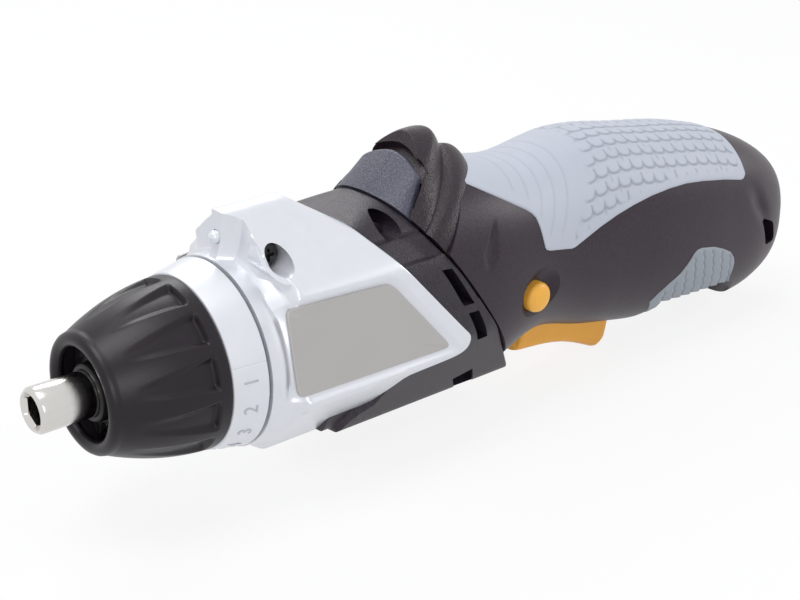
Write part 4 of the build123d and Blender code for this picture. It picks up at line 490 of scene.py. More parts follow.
def motor_section(turn, x):
    """Section of the black case: an arch over upright sides and a narrower belly, under a top that climbs to
    the rear."""
    arch = 5 * np.cos(turn) + np.sqrt(23.2 ** 2 - 25 * np.sin(turn) ** 2)
    high = np.cos(turn) > 0.17
    planes = [(0, 24.4 + 0.266 * (x - 74.0))]
    planes += [(s * a, d) for s in (-1, 1) for a, d in ((90, MOTOR_HALF_WIDTH), (117.3, 22.56))] + [(180, 24.2)]
    sides = facets(turn, planes, 40.0)
    return np.where(high, (sides ** -40.0 + arch ** -40.0) ** (-1 / 40.0), sides)


SEAM_FOOT, SEAM_SLOPE, PIVOT_HEIGHT = 108.36, 0.7002, 2.9


def seam_front(z):
    """Where the slanted seam is at a height."""
    return SEAM_FOOT - SEAM_SLOPE * z


motor_turn = circle(400)
seam_edge = np.full_like(motor_turn, 108.0)
for _ in range(30):
    seam_edge = 0.5 * seam_edge + 0.5 * seam_front(motor_section(motor_turn, seam_edge) * np.cos(motor_turn))
MOTOR_FRONT = 66.5
along = np.concatenate([np.linspace(0, 0.97, 120), np.linspace(0.975, 1, 8)])[:, None]
motor_x = MOTOR_FRONT + along * (seam_edge - MOTOR_FRONT)
motor_r = motor_section(motor_turn[None, :], motor_x)
motor_z = motor_r * np.cos(motor_turn)
hollow = step(motor_z, 22.3, 21.9) * step(motor_z, 16.2, 17.3)
motor_r -= 1.15 * hollow * (np.abs(np.sin(motor_turn)) > 0.3) * step(seam_edge - motor_x, -2.0, 5.0)
motor_r -= 1.5 * step(silver_rear(motor_z) - 0.2 - motor_x, 0.0, 0.5)
motor_r -= 0.25 * rolled(seam_edge - motor_x, 0.4)
motor_grid = about_axis(motor_x, motor_r, motor_turn)
end_middle = np.array([seam_front(PIVOT_HEIGHT), 0.0, PIVOT_HEIGHT])
end_rows = end_middle + np.array([0.66, 0.33, 0.0])[:, None, None] * (motor_grid[-1] - end_middle)
front_middle = np.array([MOTOR_FRONT, 0.0, 0.0])
front_rows = front_middle + np.array([0.0, 0.6])[:, None, None] * (motor_grid[0] - front_middle)
motor_case = skin("black_motor_case", np.concatenate([front_rows, motor_grid, end_rows]), False, 38)


def prism(corners, start, end):
    """Cutter with an outline of (x, z) corners, running from one y to another."""
    corners = np.array(corners)
    middle = corners.mean(0)
    rows = [(start, 0.0), (start, 1.0), (end, 1.0), (end, 0.0)]
    grid = [np.insert(middle + k * (corners - middle), 1, y, axis=1) for y, k in rows]
    return skin("cutter", np.stack(grid))


def low_slot_cutter(side):
    """Short cutter on the lower facet, sunk across it."""
    low = np.array([(104.5, 14.0, -19.4), (110.5, 14.7, -18.2), (113.6, 11.5, -23.8), (107.2, 11.4, -23.9)])
    low *= (1, side, 1)
    out = np.array([0.0, side * 0.8889, -0.4583])
    middle = low.mean(0)
    reach = out * 6.0
    ends = [np.broadcast_to(middle + shift, low.shape) for shift in (reach, -reach)]
    return skin("cutter", np.stack([ends[0], low + reach, low - reach, ends[1]]))


slot_high = [(94.7, 13.3), (97.8, 13.0), (104.2, 2.9), (100.8, 3.0)]
slot_low = [(102.3, 0.8), (105.6, 0.6), (109.9, -7.8), (106.8, -8.0)]
cuts = [prism(slot, side * SLOT_OUTSIDE, side * (MOTOR_HALF_WIDTH - SLOT_DEPTH))
        for slot in (slot_high, slot_low) for side in (-1, 1)]
cuts += [low_slot_cutter(-1), low_slot_cutter(1),
         bore((REAR_SCREW, -60, SCREW_HEIGHT), (REAR_SCREW, -3, SCREW_HEIGHT), (3.05, 2.9))]
carve(motor_case, *cuts)
spark_black = grained("spark_black", (0.008, 0.004, 0.009), (0.044, 0.036, 0.049), 0.36, 0.35, 0.8, patch=0.7,
                      shine=0.32)
fit(motor_case, spark_black, "head", "black_plastic", "motor_case_left", "motor_case_right")

# Hump over the twist joint: one moulding screwed to the handle, with the lock button's lobe sliding in its
# front. Spark-eroded black plastic like the motor case: a fat rolled foot, and on it a hood like a blunt nose
# that points back.

JOINT_COS, JOINT_SIN = 0.8192, 0.5736
HUMP_X, HUMP_Z = 97.3, 16.2
HOOD_HEIGHT, HOOD_SLOPE = 10.0, 0.4
LOBE_ROOM, LOBE_CLEARANCE = 2.45, 0.3


def hump_point(y, high, back):
    """Point at a height over the hump's floor and a distance behind the seam, both square to the tilted joint."""
    y, high, back = np.broadcast_arrays(y, high, back)
    x = HUMP_X - JOINT_SIN * high + JOINT_COS * back
    z = HUMP_Z + JOINT_COS * high + JOINT_SIN * back
    return np.stack([x, y, z], -1)


def smooth_through(knots, values, at):
    """Cubic pieces through the knots, whose slopes are those of the neighbours on either side."""
    slope = np.gradient(values, knots, axis=0)
    k = np.clip(np.searchsorted(knots, at, side="right") - 1, 0, len(knots) - 2)
    gap = (knots[k + 1] - knots[k])[:, None]
    t = ((at - knots[k])[:, None]) / gap
    return ((1 + 2 * t) * (1 - t) ** 2 * values[k] + t * (1 - t) ** 2 * gap * slope[k]
            + t * t * (3 - 2 * t) * values[k + 1] + t * t * (t - 1) * gap * slope[k + 1])


HUMP_SLICES = np.array([  # height, half width, length, bluntness
    (-1.5, 20.3, 26.3, 1.58), (0.0, 20.3, 26.4, 1.58), (1.6, 20.2, 26.4, 1.58), (3.2, 19.8, 26.0, 1.56),
    (4.5, 19.1, 25.2, 1.5),
    (5.4, 18.3, 24.3, 1.42), (5.9, 17.4, 23.3, 1.36), (6.1, 17.0, 22.9, 1.32), (6.5, 17.0, 22.95, 1.32),
    (7.6, 16.5, 23.1, 1.36),
    (9.0, 15.2, 23.3, 1.46), (10.5, 13.65, 23.2, 1.66), (11.3, 12.9, 23.1, 1.78), (12.2, 12.0, 23.0, 1.9),
    (13.15, 11.14, 22.7, 2.0),
    (14.3, 10.16, 21.6, 2.0), (15.2, 9.3, 20.4, 2.0), (16.15, 7.85, 19.2, 2.0), (16.7, 6.3, 18.4, 2.0),
    (17.0, 4.8, 17.9, 2.0),
])
levels = np.unique(np.concatenate([np.linspace(-1.5, 5.7, 28), np.linspace(5.7, 6.5, 12),
                                   np.linspace(6.5, 17.0, 64)]))
half_width, length, blunt = smooth_through(HUMP_SLICES[:, 0], HUMP_SLICES[:, 1:], levels).T[..., None]
hood_front = np.maximum(0.05, (levels[:, None] - HOOD_HEIGHT) / HOOD_SLOPE)
nose_start = np.arcsin((hood_front / length) ** (blunt / 2))
nose_turn = nose_start + np.linspace(0, 1, 150) * (np.pi - 2 * nose_start)
nose_y = half_width * np.sign(np.cos(nose_turn)) * np.abs(np.cos(nose_turn)) ** (2 / blunt)
hump_grid = hump_point(nose_y, levels[:, None], length * np.abs(np.sin(nose_turn)) ** (2 / blunt))
hump_ends = [np.broadcast_to(hump_grid[i].mean(0), hump_grid[:1].shape) for i in (0, -1)]
hump_moulding = skin("hump_moulding", np.concatenate([hump_ends[0], hump_grid, hump_ends[1]]), False, 30)


def lobe_grid(front, shift, grow):
    """Rings of the lobe from its front to its crest: an arch that narrows and flattens along t, with a soft ridge,
    over a crest that runs back in the middle by the square of the width; then a rounded drop. Its underside lies
    near the hump's floor in front and close under the arch at the rear."""
    t = np.concatenate([np.linspace(0, 1, 60), np.ones(6)])[:, None]
    drop = np.concatenate([np.zeros(60), [0.08, 0.28, 0.55, 0.85, 1.15, 1.5 + 2 * grow]])[:, None]
    past = np.concatenate([np.zeros(60), [0.3, 0.55, 0.72, 0.8, 0.82, 0.82]])[:, None]
    turn = np.linspace(0, np.pi, 91)
    half = 13.8 - 3.7 * t + grow
    y = half * np.sign(np.cos(turn)) * np.abs(np.cos(turn)) ** 0.8
    high = 7.4 + 5.45 * t + (6.5 - 4.5 * t) * np.sin(turn) ** 0.8 + 1.0 * (1 - np.abs(y) / half) + grow
    back = 0.1 + shift + t * (11.75 - 0.0305 * y ** 2) + past
    back[0] = front
    deep = high - 1.5 - 2 * grow
    under = 1.5 - grow + (deep - 1.5 + grow) * step(back, 5.0 + shift + grow, 6.2 + shift + grow)
    over_and_under = np.hstack([high - drop, under[:, ::-1]])
    rings = hump_point(np.hstack([y, y[:, ::-1]]), over_and_under, np.hstack([back, back[:, ::-1]]))
    return np.concatenate([np.broadcast_to(rings[0].mean(0), rings[:1].shape), rings])


def lobe_pocket():
    """Cutter for the lobe's pocket: the lobe moved back past its travel and grown by its clearance."""
    return skin("cutter", lobe_grid(-1.0, LOBE_ROOM, LOBE_CLEARANCE))


carve(hump_moulding, lobe_pocket())
hump_black = grained("hump_black", (0.003, 0.001, 0.0025), (0.036, 0.022, 0.033), 0.34, 0.4, 1.0, patch=0.6,
                     shine=0.36)
fit(hump_moulding, hump_black, "handle", "black_plastic", "pivot_cap")

# Lock button: a lobe in the front of the hump that is pushed back with the thumb to free the twist joint. The
# same black plastic with a spark finish, its tones lighter and bluer as a painted highlight; a roof of two
# halves with a soft ridge, narrowing to a crest at the rear.

# Painted highlight: both tones are lighter and bluer than the hump's plastic, for the light the lobe's face
# mirrors.
lobe_black_highlight = grained("lobe_black_highlight", (0.012, 0.012, 0.022), (0.14, 0.145, 0.20), 0.36, 0.4, 1.0, patch=0.6,
                     shine=0.4)
fit(skin("lock_lobe", lobe_grid(0.1, 0.0, 0.0), False, 26), lobe_black_highlight, "lock", "black_plastic", "lock_button")

# Handle shell: two moulded halves of black plastic round the cells and the switch, joined down the middle.
# Rounded oval sections swell to a pommel with a strap slot; a notch underneath takes the finger pad.

STATIONS = np.array([
    (84.0, 31.5, -26.0, 22.9), (112.0, 31.0, -26.0, 22.7), (136.0, 26.9, -19.0, 20.4), (158.0, 29.4, -24.0, 20.6),
    (180.0, 26.2, -28.2, 21.2), (203.0, 22.0, -31.0, 20.4), (221.5, 15.9, -30.0, 18.4), (232.4, 9.6, -26.2, 14.6),
    (238.5, 3.7, -20.4, 9.2), (240.4, -2.0, -14.4, 4.8), (240.9, -8.3, -8.3, 0.0),
])
OVAL_POWER = 2.4
knots = np.concatenate([[0], np.cumsum(np.linalg.norm(np.diff(STATIONS, axis=0), axis=1))])
stations = smooth_through(knots, STATIONS, np.linspace(0, knots[-1], 4000))


def handle_point(x, turn, lift=0.0):
    """Point of the handle's oval at x: its top, bottom and half width are read from the stations;
    turn runs round the section from the right side (0) over the top, and the oval's power is 2.4."""
    top, bottom, half = (np.interp(x, stations[:, 0], stations[:, i]) for i in (1, 2, 3))
    c, s = np.cos(turn), np.sin(turn)
    y = (half + lift) * np.sign(c) * np.abs(c) ** (2 / OVAL_POWER)
    z = (top + bottom) / 2 + ((top - bottom) / 2 + lift) * np.sign(s) * np.abs(s) ** (2 / OVAL_POWER)
    return y, z


def over_floor(z, floor):
    """Greater of two heights, with the crease between them rounded."""
    return 0.5 * (z + floor + np.sqrt((z - floor) ** 2 + 0.25))


def notch_floor(x, y):
    """Height of the finger notch's floor, far below the handle where there is no notch; its rear wall bows
    back in the middle."""
    x = x - 8.5 * (1 - np.minimum(np.abs(y) / 19, 1) ** 2) * step(x, 188, 204)
    return np.interp(x, [172.6, 173.0, 173.3, 173.9, 179.0, 190.0, 203.0, 205.8, 207.6, 208.4, 208.8, 209.2],
                     [-70, -32.0, -27.6, -26.6, -19.4, -19.8, -20.3, -21.0, -22.7, -25.4, -32.0, -70])


SHELL_FOOT, SHELL_CORNER = 108.84, 97.5


def hump_line(z):
    """Where the handle starts at a height: along the seam below the hump's edge, and inside the hump's foot
    above it."""
    return np.maximum(SHELL_FOOT - SEAM_SLOPE * z, SHELL_CORNER + 0.839 * (z - HUMP_Z))


shell_turn = circle(284)
shell_front = np.full_like(shell_turn, 108.0)
for _ in range(60):
    shell_front = 0.6 * shell_front + 0.4 * hump_line(handle_point(shell_front, shell_turn)[1])
FRONT_RUN = 138.0
front_x = shell_front + np.linspace(0, 1, 60)[:-1, None] * (FRONT_RUN - shell_front)
rear_x = np.unique(np.concatenate([np.linspace(FRONT_RUN, 172, 48), np.linspace(172, 181, 60),
                                   np.linspace(181, 204.5, 40), np.linspace(204.5, 218.5, 64),
                                   np.linspace(218.5, 238, 42), stations[stations[:, 0] > 238][::30, 0], [240.9]]))
shell_x = np.concatenate([front_x, np.repeat(rear_x[:, None], len(shell_turn), 1)])
shell_y, shell_z = handle_point(shell_x, shell_turn[None, :])
shell_y[-1], shell_z[-1] = 0.0, -8.3
floor = notch_floor(shell_x, shell_y)
shell_z = np.where(floor > -69, over_floor(shell_z, floor), shell_z)
SPEAR_X, SPEAR_Z, SPEAR_BACK, SPEAR_UP = 108.4, 9.2, 5.6, 12.2
spear_x, spear_z = shell_x - SPEAR_X, shell_z - SPEAR_Z
spear_run = (spear_x * SPEAR_BACK + spear_z * SPEAR_UP) / (SPEAR_BACK ** 2 + SPEAR_UP ** 2)
spear_off = (spear_x * SPEAR_UP - spear_z * SPEAR_BACK) / np.hypot(SPEAR_BACK, SPEAR_UP)
spear_half = 2.1 * np.clip(np.minimum(spear_run / 0.3, (1 - spear_run) / 0.7), 0, 1)
spear = step(spear_half - np.abs(spear_off), -0.2, 1.0) * (spear_half > 0)
scoop_x, scoop_z = shell_x - 217.6, shell_z + 0.6
scoop_across, scoop_along = (scoop_x * 0.80 + scoop_z * 0.60) / 2.3, (scoop_x * 0.52 - scoop_z * 0.85) / 6.0
scoop = np.exp(-scoop_across ** 2 - scoop_along ** 2)
sunk = 0.65 * spear + 1.1 * scoop
shell_y -= np.sign(shell_y) * np.minimum(sunk, np.abs(shell_y)) * (np.abs(shell_y) > 8)
shell_grid = np.stack([shell_x, shell_y, shell_z], -1)
hump_corner = np.array([SHELL_CORNER, 0.0, HUMP_Z])
nose_rows = hump_corner + np.array([0.0, 0.3, 0.65])[:, None, None] * (shell_grid[0] - hump_corner)
handle_shell = skin("handle_shell_body", np.concatenate([nose_rows, shell_grid]), False, 35)


STRAP_SLOT = [(218.9, -5.6), (220.0, -5.0), (225.0, -7.2), (226.2, -8.4), (228.2, -13.2), (227.6, -14.1),
              (223.4, -13.9), (222.2, -13.2)]
DIRECTION_X, DIRECTION_Z = 127.5, -2.8


def dish_cutter(side):
    """Ball that cuts the thumb dish round the direction button."""
    turn = circle(64)
    rise = np.linspace(-np.pi / 2, np.pi / 2, 40)[:, None]
    x = 129.3 + 11.0 * np.cos(rise) * np.cos(turn)
    y = side * 29.0 + 11.0 * np.sin(rise) + 0 * turn
    z = DIRECTION_Z + 11.0 * np.cos(rise) * np.sin(turn)
    return skin("cutter", np.stack([x, y, z], -1))


TRIGGER_FRONT, TRIGGER_TOP = 136.6, -18.0
droop = np.radians(13.0)
along_handle = np.array([np.cos(droop), -np.sin(droop)])
across_handle = np.array([np.sin(droop), np.cos(droop)])
trigger_pocket = [np.array([TRIGGER_FRONT, TRIGGER_TOP]) + along_handle * a + across_handle * b
                  for a, b in ((-0.3, -10.0), (34.3, -10.0), (34.3, 14.0), (-0.3, 14.0))]
carve(handle_shell, prism(STRAP_SLOT, -40.0, 40.0), dish_cutter(-1), dish_cutter(1),
      prism(trigger_pocket, -7.3, 7.3),
      bore((DIRECTION_X, -40, DIRECTION_Z), (DIRECTION_X, 40, DIRECTION_Z), (4.0, 4.0)),
      bore((246.9, 0, -12.4), (231.3, 0, -8.8), (4.2, 4.0)), lobe_pocket())
shell_black = grained("shell_black", (0.013, 0.007, 0.013), (0.036, 0.022, 0.036), 0.38, 0.3, 0.4, patch=0.8,
                      shine=0.32)
fit(handle_shell, shell_black, "handle", "black_plastic", "handle_shell_left", "handle_shell_right")

# Soft grip: a saddle of light grey rubber moulded over the top of the handle, its edges rolled into a groove.
# Fish-scale relief covers the palm, and fine arcs cross the waist in front of it; painted shade darkens their
# lines.

def padded_sheet(name, top, bottom, sharp=50):
    """Closed sheet from two grids of the same size: faces over both and a band round their border."""
    rows, columns = top.shape[:2]
    count = rows * columns
    index = np.arange(count).reshape(rows, columns)
    quads = np.stack([index[:-1, :-1], index[:-1, 1:], index[1:, 1:], index[1:, :-1]], -1).reshape(-1, 4)
    border = np.concatenate([index[0, :-1], index[:-1, -1], index[-1, :0:-1], index[:0:-1, 0]])
    after = np.roll(border, -1)
    band = np.stack([after, border, border + count, after + count], -1)
    faces = np.concatenate([quads, quads[:, ::-1] + count, band])
    return closed(name, np.concatenate([top.reshape(-1, 3), bottom.reshape(-1, 3)]), faces, sharp)


def arc_across(grid):
    """Distances over the surface from a grid's middle column, and what is left from there to its nearer side."""
    lengths = np.linalg.norm(np.diff(grid, axis=1), axis=-1)
    arc = np.concatenate([np.zeros((len(grid), 1)), np.cumsum(lengths, axis=1)], axis=1)
    across = np.abs(arc - arc[:, grid.shape[1] // 2][:, None])
    return across, arc[:, -1:] / 2 - across


def outward(grid):
    """Unit normals of a grid from the cross product of its two directions."""
    normal = np.cross(np.gradient(grid, axis=0), np.gradient(grid, axis=1))
    return normal / np.maximum(np.linalg.norm(normal, axis=-1, keepdims=True), 1e-9)


GRIP_EDGE = np.array([(96.0, 36.0), (110.5, 28.3), (117.8, 24.0), (125.2, 19.7), (126.9, 18.4), (127.9, 17.2),
                      (128.5, 15.2), (129.4, 9.8), (130.0, 8.8),
                      (131.4, 8.2), (139.4, 6.6), (140.6, 6.7), (149.6, 9.8), (155.8, 11.5), (162.3, 12.7),
                      (169.1, 13.5), (176.4, 13.75), (183.6, 13.5),
                      (190.9, 12.5), (200.5, 10.7), (208.3, 8.8), (209.6, 8.8), (210.6, 9.4), (211.1, 10.4),
                      (211.3, 11.6)])


GRIP_REAR = 211.3


def edge_angle(x, edge):
    """Angle round the handle's section at which a line of (x, z) points on its side lies at x."""
    top, bottom = (np.interp(x, stations[:, 0], stations[:, i]) for i in (1, 2))
    level = (np.interp(x, edge[:, 0], edge[:, 1]) - (top + bottom) / 2) / ((top - bottom) / 2)
    return np.arcsin(np.clip(np.sign(level) * np.abs(level) ** (OVAL_POWER / 2), -1, 1))


def grip_turn(x, t):
    """Angle round the section at a share t from the top (0) to the grip's lower edge (1)."""
    return np.pi / 2 + t * (np.pi / 2 - edge_angle(x, GRIP_EDGE))


share = np.linspace(-1, 1, 171)
grip_front = np.full_like(share, 114.0)
for _ in range(80):
    grip_level = handle_point(grip_front, grip_turn(grip_front, share))[1]
    grip_front = 0.75 * grip_front + 0.25 * (hump_line(grip_level) + 0.2)
rows_along = np.concatenate([np.linspace(0, 0.12, 30)[:-1], np.linspace(0.12, 0.19, 34)[:-1],
                             np.linspace(0.19, 0.95, 170)[:-1], np.linspace(0.95, 1, 30)])
grip_x = grip_front + rows_along[:, None] * (GRIP_REAR - grip_front)
grip_y, grip_z = handle_point(grip_x, grip_turn(grip_x, share[None, :]))
grip_base = np.stack([grip_x, grip_y, grip_z], -1)
grip_out = outward(grip_base)
sideways = grip_out[..., 1:2] * np.sign(grip_y[..., None])
grip_out *= np.sign(np.where(grip_z[..., None] > 8, grip_out[..., 2:], sideways) + 1e-9)
across, to_side = arc_across(grip_base)
to_end = np.minimum(GRIP_REAR - grip_x, (grip_x - grip_front) * 0.9)
to_edge = np.minimum(to_side, to_end)
SCALE_LONG, SCALE_WIDE = 4.4, 4.0


def scale_relief(u, v):
    """Fish scales in rows, each row half a scale further along: a scale's edge is a bowl with upright sides,
    v = row + 0.75 (1 - |2 du / long|^3)^(1/3). Returns the height, most at the bowl's foot, and how near the
    edge line is."""
    first = np.floor(v / SCALE_WIDE)
    height, line = np.zeros_like(v), np.zeros_like(v)
    for k in (-1, 0):
        row = first + k
        du = (u + (row % 2) * SCALE_LONG / 2 + SCALE_LONG / 2) % SCALE_LONG - SCALE_LONG / 2
        side = np.clip(np.abs(2 * du / SCALE_LONG), 0, 0.995)
        bowl = 0.75 * SCALE_WIDE * (1 - side ** 3) ** (1 / 3)
        slope = 1.5 * SCALE_WIDE / SCALE_LONG * side ** 2 * (1 - side ** 3) ** (-2 / 3)
        down = v - row * SCALE_WIDE
        height = np.maximum(height, np.where(down < bowl, down / SCALE_WIDE, 0))
        edge = np.exp(-((down - bowl) / np.sqrt(1 + slope ** 2) / 0.3) ** 2)
        line = np.maximum(line, edge * (down < 1.2 * SCALE_WIDE))
    return height, line


scale, scale_line = scale_relief(grip_x, across)
palm_front = 154.0 - 0.0156 * across ** 2
palm = step(grip_x - palm_front, -1.5, 1.5) * step(to_edge, 2.0, 3.0)
waist = step(grip_x, 121.0, 124.0) * (1 - step(grip_x - palm_front, -7.0, -3.0)) * step(to_edge, 3.0, 5.0)
waist_line = np.exp(-((((grip_x + 0.012 * across ** 2) % 4.6) - 2.3) / 0.3) ** 2)
lift = 0.35 + (0.2 * (scale - 0.4) - 0.16 * scale_line) * palm - 0.12 * waist_line * waist
lift -= 0.75 * rolled(to_edge, 0.9)
grip_top = grip_base + grip_out * lift[..., None]
soft_grip = padded_sheet("soft_grip_saddle", grip_top, grip_base - grip_out * 1.0)
# Painted shade: the scale edges and the waist arcs are marked for darkening along their lines, as the shade in
# their creases.
groove_shade = np.concatenate([scale_line * palm + 0.35 * waist_line * waist, np.zeros_like(palm)]).ravel()


def mark(piece, name, values):
    """Stores one number for each point of a mesh that its finish reads."""
    layer = piece.data.attributes.new(name, "FLOAT", "POINT")
    layer.data.foreach_set("value", values.astype(np.float32))


def grooved(finish, attribute, colour):
    """Paints shade into a finish: darkens it towards a shade colour by a number stored on the mesh."""
    nodes, links = finish.node_tree.nodes, finish.node_tree.links
    shader = nodes["Principled BSDF"]
    before = shader.inputs["Base Color"].links[0].from_socket
    stored = nodes.new("ShaderNodeAttribute")
    stored.attribute_name = attribute
    tones = nodes.new("ShaderNodeMix")
    tones.data_type = "RGBA"
    links.new(stored.outputs["Fac"], tones.inputs["Factor"])
    links.new(before, tones.inputs["A"])
    tones.inputs["B"].default_value = (*colour, 1)
    links.new(tones.outputs["Result"], shader.inputs["Base Color"])
    return finish


# Painted shade: the grip's rubber darkens towards a shade colour along the marked lines.
mark(soft_grip, "groove_shade", groove_shade)
grip_rubber = grooved(grained("grip_rubber", (0.52, 0.55, 0.625), (0.49, 0.52, 0.595), 0.6, 0.25, 0.15), "groove_shade",
                      (0.31, 0.335, 0.39))
fit(soft_grip, grip_rubber, "handle", "grip_rubber", "soft_grip_left", "soft_grip_right")

# Finger pad: darker grey rubber set in the notch under the handle, lapping up both sides.
# Wavy ribs are moulded across it, with painted shade in the troughs between them, and its ends bow with the
# notch's walls.

PAD_EDGE = np.array([(172.6, -20.4), (173.9, -17.6), (175.6, -15.2), (178.4, -13.0), (182.0, -10.9),
                     (184.9, -8.0), (186.6, -5.9), (187.8, -5.1), (189.7, -5.0),
                     (195.4, -6.2), (200.0, -8.1), (203.7, -10.1), (205.4, -12.0), (206.3, -14.2), (206.6, -17.0),
                     (206.7, -19.0)])


def pad_turn(x, t):
    """Angle round the section at a share t from the bottom (0) to the pad's upper edge (1)."""
    return -np.pi / 2 + t * (np.pi / 2 + edge_angle(x, PAD_EDGE))


pad_share = np.linspace(-1, 1, 141)
pad_front, pad_rear = 173.4 + 4.0 * (1 - pad_share ** 2), 206.6 + 7.5 * (1 - pad_share ** 2)
pad_x = pad_front + np.linspace(0, 1, 120)[:, None] * (pad_rear - pad_front)
pad_y, pad_z = handle_point(pad_x, pad_turn(pad_x, pad_share[None, :]))
pad_floor = notch_floor(pad_x, pad_y)
pad_z = over_floor(pad_z, pad_floor)
pad_base = np.stack([pad_x, pad_y, pad_z], -1)
pad_out = outward(pad_base)
pad_out *= np.sign(np.sum(pad_out * pad_base * (0, 1, 1), -1, keepdims=True))
pad_across, pad_side = arc_across(pad_base)
pad_edge = np.minimum(np.minimum(pad_side, pad_x - pad_front), pad_rear - pad_x)
wave = (pad_x + 0.25 * pad_across + 0.6 * np.abs(np.sin(pad_across * 1.05))) % 3.9 / 3.9
ribbed = step(pad_edge, 0.8, 2.0)
pad_lift = 0.3 + 0.5 * (wave * step(1 - wave, 0, 0.22) - 0.4) * ribbed
pad_lift -= 0.7 * rolled(pad_edge, 0.9)
finger_pad = padded_sheet("finger_pad_sheet", pad_base + pad_out * pad_lift[..., None], pad_base - pad_out * 0.9)
# Painted shade: the pad darkens towards a shade colour in the troughs between its wavy ribs.
mark(finger_pad, "groove_shade", np.concatenate([np.exp(-(wave / 0.14) ** 2) * ribbed, np.zeros_like(wave)]).ravel())
pad_rubber = grooved(grained("pad_rubber", (0.33, 0.36, 0.40), (0.30, 0.33, 0.37), 0.6, 0.25, 0.15), "groove_shade",
                     (0.17, 0.185, 0.21))
fit(finger_pad, pad_rubber, "handle", "pad_rubber", "finger_pad_left", "finger_pad_right")

# Trigger: a moulded orange paddle that slides up into the handle against its spring.
# Its face is hollowed for the finger and its corners are rounded.

def trigger_grid():
    """Rounded sections carried along the paddle: each is a flat-topped oval whose depth follows the hollowed
    face."""
    along = np.concatenate([[0.0, 0.0, 0.25, 0.8], np.linspace(1.6, 30.5, 40),
                            [31.6, 32.6, 33.4, 33.9, 34.0, 34.0]])
    draw = np.concatenate([[0.0, 0.9, 0.965, 0.995], np.ones(40), [1.0, 0.99, 0.96, 0.9, 0.82, 0.0]])
    t = along / 34.0
    depth = 7.4 + 1.2 * t - 2.1 * np.sin(np.pi * np.clip(t * 1.02, 0, 1)) ** 1.2
    depth -= 2.4 * step(along, 30.5, 34.2) ** 1.5
    turn = circle(96)
    c, s = np.cos(turn), np.sin(turn)
    y = 7.0 * draw[:, None] * np.sign(c) * np.abs(c) ** 0.32
    low = np.sign(s) * np.abs(s) ** 0.32
    b = np.where(low < 0, low * depth[:, None], low * 9.0) * np.where(draw[:, None] > 0, 1, 0)
    x = TRIGGER_FRONT + along[:, None] * along_handle[0] + b * across_handle[0]
    z = TRIGGER_TOP + along[:, None] * along_handle[1] + b * across_handle[1]
    return np.stack([x, y, z], -1)


trigger_orange = grained("trigger_orange", (0.97, 0.47, 0.055), (0.94, 0.44, 0.05), 0.42, 0.3, 0.12)
fit(skin("trigger_paddle", trigger_grid(), False, 45), trigger_orange, "trigger", "yellow_plastic", "trigger")

# Direction button: a yellow bar through the handle that is pushed from side to side.
# One plastic moulding with domed ends, lying in a bore of the shell over the switch.

def button_grid():
    """Bar along Y whose ends are domes: radius of each ring from a rounded profile."""
    ends = [(-22.3, 0.0), (-22.25, 1.2), (-22.1, 2.2), (-21.75, 3.1), (-21.3, 3.6), (-20.6, 3.88)]
    rows = ends + [(-10.0, 3.9), (10.0, 3.9)] + [(-y, r) for y, r in reversed(ends)]
    turn = circle(72)
    return np.stack([np.stack([DIRECTION_X + r * np.cos(turn), np.full_like(turn, y),
                               DIRECTION_Z + r * np.sin(turn)], -1)
                     for y, r in rows])


button_yellow = grained("button_yellow", (0.93, 0.47, 0.06), (0.90, 0.43, 0.05), 0.4, 0.3, 0.1)
fit(skin("direction_button_bar", button_grid()), button_yellow, "direction", "yellow_plastic", "direction_button")

# Cells, straps and the charge board inside the handle.
# Shrink-wrapped cells, nickel straps and a green laminate board.

coat_node(grained("cell_wrap", (0.05, 0.22, 0.10), (0.04, 0.18, 0.08), 0.35, 0.6, 0.1), "cells")
coat_node(grained("nickel_strap", (0.62, 0.60, 0.56), (0.54, 0.52, 0.48), 0.3, 0.3, 0.1, 1.0), "cell_straps")
coat_node(grained("board_laminate", (0.03, 0.16, 0.07), (0.025, 0.12, 0.055), 0.4, 0.5, 0.15), "charge_board")

# Floor, light and camera: a pale floor and soft studio light, seen from the left and front.
# The floor is matt paint that keeps the shadow, and four square soft boxes hang round the tool.

floor_mesh = bpy.data.meshes.new("studio_floor")
floor_mesh.from_pydata([(-3, -3, -0.034), (3, -3, -0.034), (3, 3, -0.034), (-3, 3, -0.034)], [], [(0, 1, 2, 3)])
studio_floor = placed("studio_floor", floor_mesh)
floor_paint = grained("floor_paint", (0.92, 0.92, 0.92), (0.90, 0.90, 0.90), 0.7, 2.0, 0.02)
floor_nodes = floor_paint.node_tree.nodes
glow = floor_nodes.new("ShaderNodeEmission")
glow.inputs["Color"].default_value = (1, 1, 1, 1)


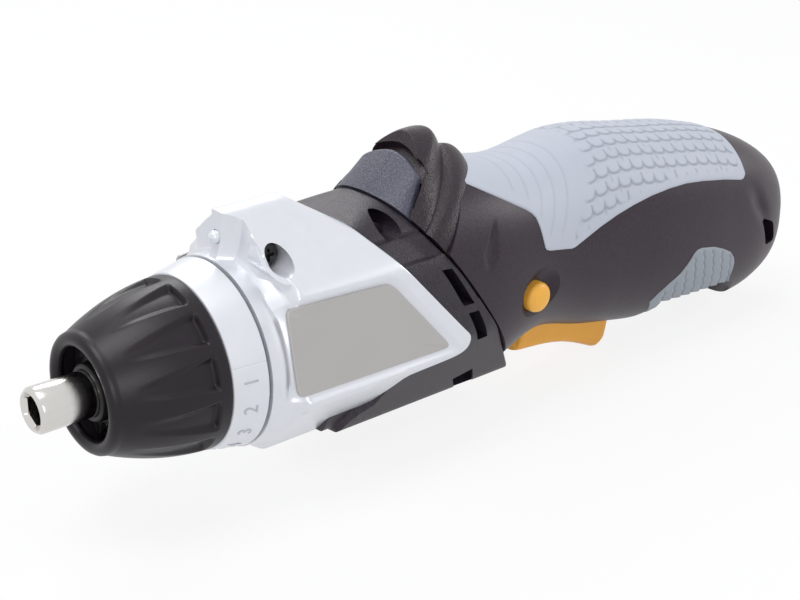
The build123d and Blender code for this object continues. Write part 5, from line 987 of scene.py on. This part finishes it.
def white_when_seen(tree, shaded, white, share, output):
    """Puts a white shader over another, by a share, for the rays that show it: straight, mirrored or through
    glass."""
    path = tree.nodes.new("ShaderNodeLightPath")
    shown = path.outputs["Is Camera Ray"]
    for ray in ("Is Glossy Ray", "Is Transmission Ray"):
        most = tree.nodes.new("ShaderNodeMath")
        most.operation = "MAXIMUM"
        tree.links.new(shown, most.inputs[0])
        tree.links.new(path.outputs[ray], most.inputs[1])
        shown = most.outputs["Value"]
    part = tree.nodes.new("ShaderNodeMath")
    part.operation = "MULTIPLY"
    part.inputs[1].default_value = share
    tree.links.new(shown, part.inputs[0])
    mix = tree.nodes.new("ShaderNodeMixShader")
    tree.links.new(part.outputs["Value"], mix.inputs["Fac"])
    tree.links.new(shaded, mix.inputs[1])
    tree.links.new(white, mix.inputs[2])
    tree.links.new(mix.outputs["Shader"], output.inputs["Surface"])


white_when_seen(floor_paint.node_tree, floor_nodes["Principled BSDF"].outputs["BSDF"], glow.outputs["Emission"],
                0.85, floor_nodes["Material Output"])
floor_mesh.materials.append(floor_paint)

world = bpy.data.worlds.new("studio_air")
bpy.context.scene.world = world
world.use_nodes = True
air = world.node_tree.nodes
sky = air["Background"]
sky.inputs["Color"].default_value = (0.93, 0.95, 1.0, 1)
sky.inputs["Strength"].default_value = 0.38
white = air.new("ShaderNodeBackground")
white.inputs["Color"].default_value = (1, 1, 1, 1)
white.inputs["Strength"].default_value = 1.0
white_when_seen(world.node_tree, sky.outputs["Background"], white.outputs["Background"], 1.0, air["World Output"])


def soft_box(name, place, aim, size, power):
    """Square area lamp at a place, facing a point."""
    lamp = bpy.data.lights.new(name, "AREA")
    lamp.size, lamp.energy = size, power
    box = placed(name, lamp)
    box.location = place
    box.rotation_euler = (Vector(aim) - Vector(place)).to_track_quat("-Z", "Y").to_euler()


tool_middle = (0.11, 0.0, 0.0)
soft_box("top_box", (-0.16, 0.02, 0.72), tool_middle, 0.4, 2.75)
soft_box("front_box", (-0.30, -0.66, 0.30), tool_middle, 0.3, 1.4)
soft_box("side_box", (0.80, -0.30, 0.34), tool_middle, 0.26, 1.6)
soft_box("back_box", (0.3, 0.55, 0.5), tool_middle, 0.3, 1.6)

camera = bpy.data.cameras.new("photo_camera")
camera.sensor_width, camera.lens = 36.0, 72.0
camera.clip_start = 0.01
photo_camera = placed("photo_camera", camera)
photo_camera.location = (-0.1335, -0.274, 0.1517)
photo_camera.rotation_euler = Vector((0.597, 0.699, -0.394)).to_track_quat("-Z", "Y").to_euler()
bpy.context.scene.camera = photo_camera
bpy.context.scene.view_settings.view_transform = "Standard"
